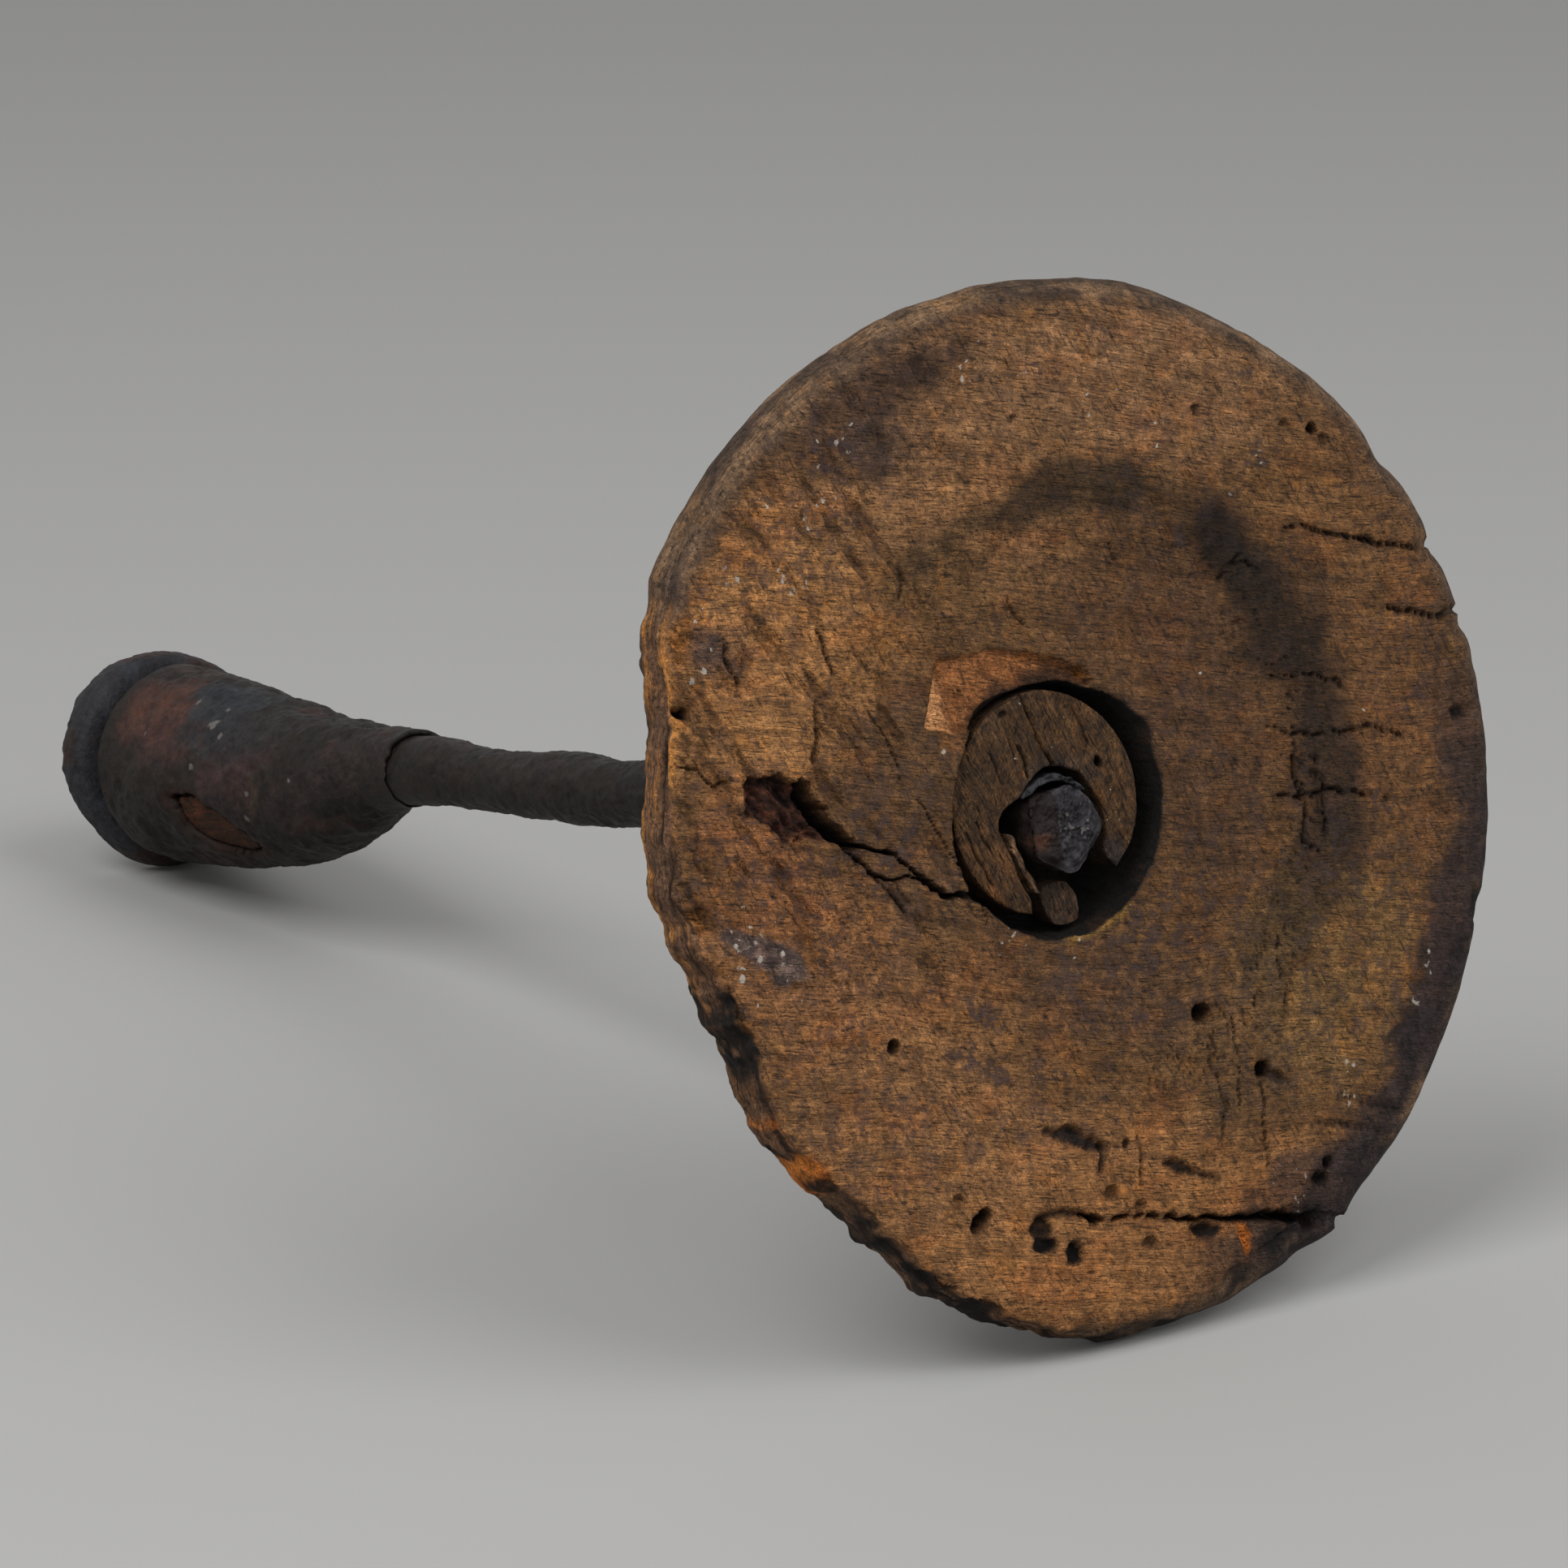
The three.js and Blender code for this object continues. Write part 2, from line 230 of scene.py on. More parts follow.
def mesh_piece(name, points, quads, triangles, body, node, material, vectors, masks):
    """A smooth-shaded mesh with its colours and masks, in the place of a CAD node."""
    mesh = bpy.data.meshes.new(name)
    mesh.vertices.add(len(points))
    mesh.vertices.foreach_set("co", to_frame(points).astype(np.float32).ravel())
    corners = np.concatenate([quads.ravel(), triangles.ravel()]).astype(np.int32)
    sizes = np.concatenate([np.full(len(quads), 4), np.full(len(triangles), 3)])
    mesh.loops.add(len(corners))
    mesh.loops.foreach_set("vertex_index", corners)
    mesh.polygons.add(len(sizes))
    mesh.polygons.foreach_set("loop_start", (np.cumsum(sizes) - sizes).astype(np.int32))
    mesh.update(calc_edges=True)
    mesh.polygons.foreach_set("use_smooth", np.ones(len(sizes), bool))
    paint = mesh.attributes.new("paint", "FLOAT_COLOR", "POINT")
    rgba = np.hstack([clamp(vectors["paint"]), np.ones((len(points), 1))])
    paint.data.foreach_set("color", rgba.astype(np.float32).ravel())
    for key in ("grain", "rim_grain", "spot"):
        layer = mesh.attributes.new(key, "FLOAT_VECTOR", "POINT")
        layer.data.foreach_set("vector", vectors.get(key, points).astype(np.float32).ravel())
    for key, values in masks.items():
        layer = mesh.attributes.new(key, "FLOAT", "POINT")
        layer.data.foreach_set("value", clamp(values).astype(np.float32))
    mesh.materials.append(material)
    piece = bpy.data.objects.new(name, mesh)
    bpy.context.scene.collection.objects.link(piece)
    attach(piece, body)
    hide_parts(node)
    return piece


def signed_volume(points, quads, triangles):
    tris = np.vstack([quads[:, [0, 1, 2]], quads[:, [0, 2, 3]], triangles])
    a, b, c = (points[tris[:, k]] for k in range(3))
    return np.einsum("ij,ij->i", a, np.cross(b, c)).sum() / 6


# ---------------------------------------------------------------- materials

# Dust and rust, which lie on every piece of wood or of iron. On the rod's head the iron's dust
# colour also paints glints.
WOOD_DUST = linear(188, 178, 166)
IRON_DUST_AND_GLINTS = linear(104, 100, 96)
RUST = linear(48, 28, 22)


def add(tree, kind, **settings):
    made = tree.nodes.new(kind)
    for key, value in settings.items():
        setattr(made, key, value)
    return made


def attribute(tree, name, output):
    return add(tree, "ShaderNodeAttribute", attribute_name=name).outputs[output]


def stretched_noise(tree, vector, stretch, detail, roughness, distortion=0.0, turn=0.0):
    """Noise in the grain's own millimetres, finer where stretch is larger."""
    mapping = add(tree, "ShaderNodeMapping")
    mapping.inputs["Scale"].default_value = stretch
    if turn:
        straight = add(tree, "ShaderNodeMapping")
        straight.inputs["Rotation"].default_value = (0, 0, math.radians(turn))
        tree.links.new(vector, straight.inputs["Vector"])
        vector = straight.outputs["Vector"]
    tree.links.new(vector, mapping.inputs["Vector"])
    made = add(tree, "ShaderNodeTexNoise")
    made.inputs["Scale"].default_value = 1
    made.inputs["Detail"].default_value = detail
    made.inputs["Roughness"].default_value = roughness
    made.inputs["Distortion"].default_value = distortion
    tree.links.new(mapping.outputs["Vector"], made.inputs["Vector"])
    return made.outputs["Fac"]


def ranged(tree, value, low, high, to_low, to_high):
    made = add(tree, "ShaderNodeMapRange", interpolation_type="SMOOTHSTEP")
    for key, number in zip(
        ("From Min", "From Max", "To Min", "To Max"), (low, high, to_low, to_high), strict=True
    ):
        made.inputs[key].default_value = number
    tree.links.new(value, made.inputs["Value"])
    return made.outputs["Result"]


def maths(tree, operation, a, b):
    made = add(tree, "ShaderNodeMath", operation=operation)
    for socket, value in zip(made.inputs, (a, b), strict=False):
        if isinstance(value, (int, float)):
            socket.default_value = value
        else:
            tree.links.new(value, socket)
    return made.outputs[0]


def blended(tree, mode, share, a, b):
    made = add(tree, "ShaderNodeMix", data_type="RGBA", blend_type=mode)
    for index, value in ((0, share), (6, a), (7, b)):
        if isinstance(value, (int, float)):
            made.inputs[index].default_value = value
        elif isinstance(value, (tuple, list, np.ndarray)):
            made.inputs[index].default_value = (*value, 1)
        else:
            tree.links.new(value, made.inputs[index])
    return made.outputs[2]


def principled(name):
    material = bpy.data.materials.new(name)
    material.use_nodes = True
    tree = material.node_tree
    shader = next(n for n in tree.nodes if n.type == "BSDF_PRINCIPLED")
    return material, tree, shader


def bumped(tree, shader, layers):
    """Bumps on each other, from (height, distance in millimetres) pairs."""
    below = None
    for height, distance in layers:
        bump = add(tree, "ShaderNodeBump")
        bump.inputs["Strength"].default_value = 1
        bump.inputs["Distance"].default_value = distance * MM
        tree.links.new(height, bump.inputs["Height"])
        if below:
            tree.links.new(below, bump.inputs["Normal"])
        below = bump.outputs["Normal"]
    tree.links.new(below, shader.inputs["Normal"])


def wood_material(name, patina_colour, contrast=1.0, relief=1.0):
    """Old wood. The grain runs along x of the grain attribute, in millimetres, and where the
    side attribute is 1 it runs along x of the rim_grain attribute instead."""
    material, tree, shader = principled(name)
    spot = attribute(tree, "spot", "Vector")
    side = attribute(tree, "side", "Fac")
    ways = [attribute(tree, key, "Vector") for key in ("grain", "rim_grain")]

    def along_grain(stretch, detail, roughness):
        face, rim = (stretched_noise(tree, way, stretch, detail, roughness) for way in ways)
        share = maths(tree, "MULTIPLY", maths(tree, "SUBTRACT", rim, face), side)
        return maths(tree, "ADD", face, share)

    fibres = along_grain((0.6, 5.2, 4.4), 4, 0.7)
    strokes = stretched_noise(tree, ways[0], (0.55, 2.6, 2.6), 5, 0.7, 0.2, turn=50)
    lines = along_grain((0.09, 1.7, 1.6), 3, 0.6)
    pores = along_grain((0.8, 6.5, 5.5), 2, 0.5)
    mottle = stretched_noise(tree, spot, (0.4, 0.4, 0.4), 6, 0.66, 0.2)
    scuffs = stretched_noise(tree, spot, (1.3, 1.3, 1.3), 6, 0.78, 0.3)
    patches = stretched_noise(tree, spot, (0.5, 0.6, 0.6), 8, 0.74, 0.4)
    fine = stretched_noise(tree, spot, (7, 7, 7), 3, 0.7)

    def shade(value, low, high, darkest, lightest):
        spread = [1 + (edge - 1) * contrast for edge in (darkest, lightest)]
        return ranged(tree, value, low, high, *spread)

    colour = attribute(tree, "paint", "Color")
    ochre = stretched_noise(tree, spot, (0.3, 0.36, 0.36), 7, 0.7, 0.3)
    ochre = ranged(tree, ochre, 0.5, 0.64, 0, 1)
    warmed = blended(tree, "MULTIPLY", 1.0, colour, (1.16, 1.0, 0.72))
    colour = blended(tree, "MIX", maths(tree, "MULTIPLY", ochre, 0.7 * contrast), colour, warmed)
    for factor in (
        shade(fibres, 0.32, 0.66, 0.66, 1.24),
        shade(strokes, 0.52, 0.66, 1.08, 0.42),
        shade(lines, 0.32, 0.64, 0.76, 1.16),
        shade(mottle, 0.3, 0.7, 0.7, 1.28),
        shade(scuffs, 0.32, 0.66, 0.56, 1.32),
        shade(fine, 0.3, 0.7, 0.6, 1.32),
        shade(pores, 0.56, 0.66, 1.0, 0.3),
    ):
        colour = blended(tree, "MULTIPLY", 1.0, colour, factor)
    patina = ranged(tree, patches, 0.485, 0.575, 0, 0.72)
    patina = maths(tree, "MULTIPLY", patina, attribute(tree, "patina", "Fac"))
    glaze = blended(tree, "MULTIPLY", 1.0, patina_colour, ranged(tree, fine, 0.3, 0.7, 0.6, 1.4))
    colour = blended(tree, "MIX", patina, colour, glaze)
    flecks = maths(tree, "ADD", attribute(tree, "dust_and_glints", "Fac"), maths(tree, "MULTIPLY", fine, 0.8))
    flecks = ranged(tree, flecks, 0.82, 1.15, 0, 0.92)
    colour = blended(tree, "MIX", flecks, colour, WOOD_DUST)
    tree.links.new(colour, shader.inputs["Base Color"])
    rough_wood = ranged(tree, scuffs, 0.3, 0.7, 0.56, 0.82)
    gloss = maths(tree, "MULTIPLY", patina, 0.26)
    tree.links.new(maths(tree, "SUBTRACT", rough_wood, gloss), shader.inputs["Roughness"])
    shader.inputs["Specular IOR Level"].default_value = 0.2
    bumped(tree, shader, [
        (scuffs, 0.42 * relief),
        (fibres, 0.12 * relief),
        (strokes, -0.3 * relief),
        (pores, -0.12 * relief),
        (patina, 0.06 * relief),
        (fine, 0.05 * relief),
    ])
    return material


def iron_material(name, roughness, relief):
    """Corroded iron, between two roughnesses. Its grain attribute is in millimetres."""
    material, tree, shader = principled(name)
    paint = attribute(tree, "paint", "Color")
    grain = attribute(tree, "grain", "Vector")
    coarse = stretched_noise(tree, grain, (0.45, 0.45, 0.45), 8, 0.68)
    scale = stretched_noise(tree, grain, (1.6, 1.6, 1.6), 6, 0.7)
    fine = stretched_noise(tree, grain, (6, 6, 6), 4, 0.7)
    colour = blended(tree, "MULTIPLY", 1.0, paint, ranged(tree, coarse, 0.32, 0.68, 0.6, 1.45))
    colour = blended(tree, "MULTIPLY", 1.0, colour, ranged(tree, scale, 0.3, 0.7, 0.7, 1.35))
    rust = ranged(tree, scale, 0.56, 0.7, 0, 0.35)
    colour = blended(tree, "MIX", rust, colour, RUST)
    flecks = maths(tree, "ADD", attribute(tree, "dust_and_glints", "Fac"), maths(tree, "MULTIPLY", fine, 0.6))
    flecks = ranged(tree, flecks, 0.95, 1.2, 0, 0.6)
    colour = blended(tree, "MIX", flecks, colour, IRON_DUST_AND_GLINTS)
    tree.links.new(colour, shader.inputs["Base Color"])
    low, high = roughness
    tree.links.new(ranged(tree, coarse, 0.3, 0.7, low, high), shader.inputs["Roughness"])
    shader.inputs["Specular IOR Level"].default_value = 0.17
    bumped(tree, shader, [
        (coarse, 0.5 * relief),
        (scale, 0.3 * relief),
        (fine, 0.06 * relief),
    ])
    return material


# ---------------------------------------------------------------- the whorl

# The whorl's own middle in the spindle's frame. Its features are placed from there, as (y, z).
WHORL_MIDDLE = np.array([1.7, 0.9])
RIM_RADIUS = 50.2
THICKNESS = 13.2
HOLE_RADIUS = 11.9
HOLE_MIDDLE = np.array([-1.65, 0.7])
HOLE_BACK_RADIUS = 10.9
HOLE_BACK_MIDDLE = np.array([-2.6, 1.4])
DISH_DEPTH, DISH_INNER, DISH_OUTER = 1.2, 25, 34
GRAIN_TURN = math.radians(-12)

# Where the hole is on the drawing that places the marks of the face, and its radius there.
DRAWN_HOLE, DRAWN_HOLE_RADIUS = (-2.5, 1), 12.2

# Straight stretches that the rim is worn back to: the way each faces in degrees, and how far
# it is from the middle.
WORN_EDGES = ((174, 44.4), (201, 42.3), (222, 43.4), (244, 46.2))

# Dents in the rim and bites out of the hole's edge: middle and width in degrees, and depth.
RIM_DENTS = ((60, 13, 1), (36, 3, 0.7), (23, 1.6, 0.6), (13.5, 1.2, 0.5), (-60, 4, -0.9))
HOLE_BITES = ((30, 7, 1.2), (44, 7, 0.5), (122, 10, 0.8), (-149, 5, 0.7), (4, 5, 0.4))

# Rim sections from the face to the back, as (inset from the widest radius, depth).
SOUND_RIM = ((3.7, 0), (2.3, 0.25), (1.1, 0.8), (0.3, 1.8), (0, 3), (0.5, 4.6), (2.6, 6.7),
             (7.2, 8.8))
WORN_RIM = ((1.5, 0), (0.8, 0.35), (0.4, 1.1), (0.1, 2.2), (0, 3.4), (0.4, 5), (1.8, 6.9),
            (6.4, 8.8))

# The back's section, as (distance from the middle, depth).
BACK_SECTION = ((0, 13.2), (20, 13.2), (28, 12.2), (36, 10.8), (43, 8.8), (47.5, 6.7), (50.2, 3))

# Splits and cracks as ((y, z, half width), ...) and a depth. They are painted black, as painted
# shade in them.
CRACKS = (
    (((-31.4, 8.5, 0.2), (-30.8, 7.4, 0.4), (-29.7, 4.8, 0.6), (-28.1, 2.9, 0.6),
      (-26, 1.4, 0.35)), 4.8),
    (((-26.6, 1.8, 0.26), (-24.2, 1, 0.16), (-22.1, -0.1, 0.15), (-19.8, -2.1, 0.15),
      (-17.6, -4.1, 0.24), (-15.8, -5, 0.28), (-14, -5.1, 0.26), (-12.4, -6, 0.35)), 3.5),
    (((-28, 2.4, 0.24), (-26.6, 0.7, 0.16), (-25, -0.9, 0.12), (-23.4, -1.9, 0.12),
      (-20.6, -2.3, 0.1), (-18, -3.4, 0.14)), 1.6),
    (((-24.6, -1.2, 0.12), (-22.8, -3.6, 0.16), (-21.4, -5.6, 0.1)), 0.7),
    (((-4.8, -37.4, 0.16), (-1, -38.1, 0.12), (3, -39, 0.1), (8, -40.1, 0.11), (13, -41, 0.16),
      (17, -41.8, 0.36), (21, -42.5, 0.3), (24.8, -43.4, 0.4), (28, -44.6, 0.45)), 4.0),
    (((28, 23.8, 0.1), (33, 22.6, 0.14), (38.5, 20.7, 0.2), (42, 20, 0.18),
      (48.5, 19.2, 0.36)), 1.2),
    (((38.5, 14.4, 0.1), (42, 13.4, 0.16), (45, 12.6, 0.15), (51.5, 12.9, 0.28)), 1.2),
    (((24, 9.8, 0.07), (29, 9.3, 0.12), (31.6, 8.4, 0.12), (33, 6.6, 0.08)), 0.8),
    (((23, 5.3, 0.06), (26.5, 3.8, 0.13), (30, 3.4, 0.1), (34.5, 3.3, 0.12), (39, 1.9, 0.09)), 0.8),
    (((23, -1.6, 0.08), (26.2, -2.4, 0.14), (29.4, -2.2, 0.15), (34, -3.2, 0.1),
      (38, -4.6, 0.06)), 1.0),
    (((26.2, 3, 0.08), (25.9, 0, 0.15), (26.4, -3, 0.12), (26.2, -6.5, 0.14),
      (27.6, -7.8, 0.1)), 0.9),
    (((28.2, 2, 0.07), (29, -2, 0.11), (28.4, -7, 0.08)), 0.7),
    (((18.6, 19.4, 0.08), (20.4, 21.1, 0.14), (22.2, 22.6, 0.09)), 0.6),
    (((20.4, 21.1, 0.14), (22.4, 21.3, 0.11), (23.6, 19.6, 0.08)), 0.6),
    (((-28.4, 15.4, 0.08), (-29, 12.8, 0.14), (-29.8, 10, 0.2)), 0.8),
    (((-38, 22.6, 0.08), (-37.6, 20.4, 0.2), (-36.6, 18.2, 0.12)), 0.7),
    (((-27.6, 21.8, 0.08), (-27.2, 19.6, 0.16), (-26.6, 17.8, 0.1)), 0.7),
    (((-18, 26.6, 0.07), (-17.8, 25, 0.11), (-18.4, 23.4, 0.08)), 0.5),
    (((-6, 21.6, 0.07), (-4.8, 19.9, 0.12), (-4.2, 18.8, 0.07)), 0.5),
    (((6, 25.2, 0.07), (7.6, 23.4, 0.1)), 0.4),
    (((-43.6, 11.4, 0.08), (-42, 11.2, 0.14), (-40.6, 9.6, 0.12), (-38.6, 9.9, 0.1)), 0.6),
    (((15, -22, 0.07), (15.4, -26, 0.12), (15, -30, 0.08)), 0.5),
    (((17.6, -37, 0.06), (17.4, -33, 0.11), (18, -29, 0.07)), 0.5),
    (((12, -25, 0.07), (13.2, -29.5, 0.11), (12.4, -34, 0.07)), 0.5),
    (((21.6, -15.5, 0.07), (21.8, -20, 0.12), (21.2, -24, 0.07)), 0.5),
    (((2.2, -30.4, 0.07), (2.8, -33, 0.16), (2.4, -36, 0.07)), 0.5),
    (((-12.6, 1.6, 0.06), (-13.6, -3, 0.1), (-12.4, -8, 0.06)), 0.4),
    (((-18.6, 4.6, 0.06), (-16.6, 1, 0.11), (-14.8, -2.2, 0.06)), 0.4),
    (((-23, 13.6, 0.07), (-21, 10, 0.12), (-20.4, 7, 0.06)), 0.4),
)

# Worm holes and pits: y, z, half length, half width, turn in degrees, depth, darkness, which is
# painted shade inside them.
PITS = (
    (11.7, -20.9, 0.95, 0.8, 0, 3.5, 1),
    (18.2, -27.5, 0.95, 0.75, -30, 3.5, 1),
    (19.8, -28.5, 1.4, 0.5, -30, 0.5, 0.7),
    (-24.4, -17.5, 0.65, 0.65, 0, 1.6, 0.85),
    (-16.3, -35.5, 1.3, 0.7, 40, 2.6, 1),
    (-18.6, -33.3, 0.75, 0.6, -40, 0.6, 0.4),
    (-1.2, -35.8, 0.75, 0.7, 0, 0.6, 0.5),
    (1, -31.5, 0.4, 0.4, 0, 0.7, 0.8),
    (2.6, -41.3, 0.8, 0.6, -10, 0.5, 0.4),
    (2, -37.6, 0.6, 0.4, 0, 0.4, 0.5),
    (24.9, -37.9, 0.6, 0.5, 0, 1.5, 1),
    (23.7, -39.2, 0.9, 0.55, -20, 1.0, 0.9),
    (32.1, 32.6, 0.5, 0.45, 0, 1.6, 1),
    (46.8, 2.8, 0.9, 0.7, 0, 0.6, 0.9),
    (28.7, 33.6, 0.5, 0.35, -20, 0.5, 0.5),
    (33.5, 31.2, 0.9, 0.5, -60, 0.5, 0.5),
    (-9.6, -37.6, 1.1, 0.9, 0, 0.9, 0.9),
    (-9.4, -39.2, 1.3, 0.7, -10, 0.9, 1),
    (-6.2, -40.6, 0.9, 1.1, 0, 1.0, 1),
    (-3.4, -38, 0.7, 0.4, 0, 1.0, 1),
    (-42.6, 16.2, 0.5, 0.45, 0, 1.4, 1),
    (-3.1, 38.2, 0.4, 0.3, 0, 0.4, 0.6),
    (18.2, 36.2, 0.35, 0.6, 0, 0.5, 0.8),
)

# Gouges along the grain, painted dark as shade in them: ((y, z, half width), ...) and a depth.
GOUGES = (
    (((-8.2, -28.6, 0.3), (-5.6, -29.3, 0.9), (-3.2, -30.6, 0.9), (-1.2, -31.4, 0.5)), 0.8),
    (((-1.6, -31.4, 0.5), (-2.2, -33.4, 0.5)), 0.6),
    (((5.4, -34, 0.35), (7.3, -34.9, 0.75), (9, -35.8, 0.4), (11.4, -36.9, 0.2)), 0.8),
    (((-11, -37.6, 0.3), (-10, -36.5, 0.5), (-7, -36.5, 0.45), (-4.2, -37.7, 0.35)), 0.9),
    (((8, -41, 0.5), (9.6, -41.8, 0.9), (10.6, -42.2, 0.5)), 0.6),
    (((23.5, -33.6, 0.15), (27, -34.6, 0.4), (32, -36.2, 0.25)), 0.4),
    (((27, -32, 0.15), (31, -33.4, 0.4), (36, -35, 0.3)), 0.4),
)

# The torn cavity at the outer end of the main split.
CAVITY = ((-37.3, 9.4), (-33.8, 9.2), (-30.8, 8.2), (-29.4, 5.2), (-28.6, 1.4), (-33.2, 3.1),
          (-37.4, 5.4))

# The flake lost beside the top of the hole, whose raw wood still looks fresh.
CHIP = ((-16.9, 11), (-14.6, 17.1), (-8, 17.2), (-3, 16), (0.2, 14.8), (3, 12.7), (1.4, 11.4),
        (-8, 10.6), (-12.6, 9.9))

# Broad stains on the face: y, z, half sizes, turn in degrees, colour as seen, strength. The light
# ones on the left are partly painted light, as the light falls more on that side. The dark ones
# round the dish's step on the right are partly dirt and partly painted shade at the foot of the
# step.
STAINS_LIGHT_AND_SHADE = (
    (6, 41, 30, 8, -6, (152, 112, 76), 0.85),
    (36, 10, 10, 24, 8, (122, 84, 50), 0.7),
    (30, 24, 12, 9, -40, (130, 92, 54), 0.6),
    (27, -19, 11, 11, 0, (140, 106, 62), 0.75),
    (12, -22, 14, 9, 0, (116, 84, 50), 0.6),
    (0, -40, 34, 11, -4, (162, 112, 66), 0.9),
    (-24, -24, 19, 15, -30, (158, 112, 70), 0.85),
    (-34, -8, 11, 8, -25, (154, 106, 66), 0.85),
    (-38, 4, 5, 8, 0, (148, 96, 58), 0.8),
    (-32, 20, 14, 15, 0, (178, 126, 76), 0.9),
    (-14, 32, 18, 10, -20, (160, 116, 76), 0.75),
    (-12, 24, 12, 4, -25, (110, 80, 46), 0.4),
    (-22, 41, 9, 5, 20, (72, 52, 40), 0.75),
    (-13, 45, 7, 3, 5, (66, 48, 38), 0.75),
    (-18, 38, 5, 3, 0, (60, 50, 48), 0.5),
    (10, 16, 14, 9, -30, (92, 64, 42), 0.6),
    (2, -16, 16, 6, -12, (100, 72, 50), 0.6),
    (15, 2, 9, 13, 0, (92, 64, 42), 0.65),
    (20.5, 22.5, 8, 5, -38, (36, 27, 19), 0.95),
    (26.6, 12.5, 5, 9, 22, (40, 30, 21), 0.9),
    (29.2, 0, 4, 9, 2, (46, 34, 24), 0.85),
    (26.5, -11, 3.6, 7, -25, (58, 43, 28), 0.7),
    (22, -16, 3.5, 8, -20, (78, 60, 38), 0.6),
    (2, 29.6, 15, 2.4, -3, (58, 45, 29), 0.8),
    (-16, 26, 9, 2, 30, (70, 56, 34), 0.5),
    (16, -27, 5, 6, -30, (86, 64, 40), 0.5),
    (45, 3, 3.5, 12, 5, (84, 58, 42), 0.6),
    (48.6, -15, 2.6, 6, 20, (48, 38, 38), 0.95),
    (44.6, -23, 4, 6.5, 32, (46, 36, 37), 1),
    (38.6, -31, 5, 5.5, 45, (46, 36, 37), 1),
    (31.6, -38, 6.5, 4, 38, (50, 39, 38), 0.95),
    (37.5, -27.8, 4.5, 0.7, -12, (40, 31, 28), 0.9),
    (26.5, -38, 4.5, 2.6, 20, (62, 49, 47), 0.8),
    (21, -38.5, 4, 3, 10, (76, 60, 54), 0.7),
    (20, -45, 7, 3, 25, (60, 42, 31), 0.85),
    (-40, 21.5, 3, 2, 0, (70, 59, 57), 0.8),
    (-22, 8, 8, 9, -30, (92, 66, 44), 0.6),
    (-20, -4, 7, 4, -30, (88, 66, 48), 0.5),
)

# Small purple-grey patches of old surface: y, z, half sizes, turn. The first, a raised skin of
# it, lies by the left rim.
SKIN = (-37, -6.8, 5.6, 1.5, -33)
PATCHES = (
    SKIN, (-16.4, -19.6, 2.6, 1.5, -20), (-13, -22, 2, 1.4, 0), (-14.5, -15.5, 2.6, 1.2, -50),
    (-19, -12, 1.4, 2, 20), (-12, -26, 2, 1, -20),
    (1, 42, 1.6, 1.1, -30), (25.6, 31, 2.4, 1.4, 20), (21, 28, 1.5, 0.6, -20),
    (24, 39.4, 1.6, 0.7, -15), (-1.6, 34.6, 0.8, 0.8, 0), (7.6, 45, 1.2, 0.6, 0),
    (41, 5, 1.8, 1.6, 0), (36, -4, 2.4, 1.2, -30), (-24, 38, 2, 2, 0), (13, 25, 3, 1, -20),
    (-11, -18, 3, 1.2, -35), (-7, -23, 2.6, 1, -20), (4, -20, 2, 1, -40), (30, -10, 1.6, 2, 10),
)

# Burnt black places on and near the rim: y, z, half sizes, turn.
BURNS = (
    (-42.3, -10.9, 1.7, 2.2, 15), (-40.6, -15.4, 1.5, 3.6, 18),
    (-33.6, -30, 2.6, 1.5, -50), (-30.2, -33, 3.2, 1.8, -38), (-27.4, -36.4, 3, 1.5, -35),
    (-22.6, -40.8, 3.2, 1.6, -22), (-18, -43.6, 3.2, 1, -20), (13.4, -46.9, 2.2, 1.2, 10),
    (19.4, -44.6, 3.6, 2, -10), (9.8, -41.6, 1.6, 1.2, 0), (14.6, -41.4, 2.8, 0.7, -10),
    (-1, -50, 8, 0.9, 0), (21, -42, 2.6, 0.7, -12), (47.6, -17, 1, 2.6, 20),
)

# Raw orange wood where the rim has broken off: y, z, half sizes, turn.
RAW_PLACES = (
    (-34.4, -28.4, 1.8, 3, 25), (13.9, -43.2, 0.6, 1.6, 15), (-44, 15.8, 2, 1, 15),
    (-43.4, 23.4, 2.4, 3, 20), (-46, 9, 1.1, 6, 0), (-43.6, -2.4, 1.3, 1.5, 0),
    (-39, -21.8, 1.4, 0.8, -20), (2, 13.6, 1.0, 0.4, -40),
)

# Where white dust and crumbs sit: y, z, spread, how many.
CRUMBS = (
    (-40.5, 27, 1.6, 9), (-36.5, 27.8, 2, 9), (-29.6, 26.5, 1.8, 12), (-37, 30, 1.5, 6),
    (-33, 35.5, 3, 8), (-26, 33.5, 2.6, 8), (-23, 38.6, 1.5, 6), (-8, 44, 3, 10),
    (-1.2, 42.4, 1.2, 5), (6, 39, 2.4, 8), (13, 35.2, 1.8, 6), (26, 31, 1.4, 6),
    (20.8, 28.3, 0.7, 4), (29, 27.4, 0.6, 2), (41, -20.8, 1.5, 8), (38, -24, 1.5, 6),
    (40, -27, 1, 6), (29, -29, 1.2, 6), (28, -32.2, 1.4, 9), (39.4, -30.6, 1, 4),
    (34.5, -33.6, 2, 7), (30, -38.6, 2, 8), (22.5, -38.6, 1.5, 7), (20, -41, 2.4, 8),
    (-9, -9.6, 1.8, 10), (-15.2, 8.4, 0.5, 3), (-38, -6.6, 4, 34), (-44, 22, 1.5, 6),
    (-41, 19.8, 1.4, 6), (34.4, 5.4, 0.8, 2), (-2, -11.4, 1.2, 4), (16, 11.4, 0.5, 2),
)

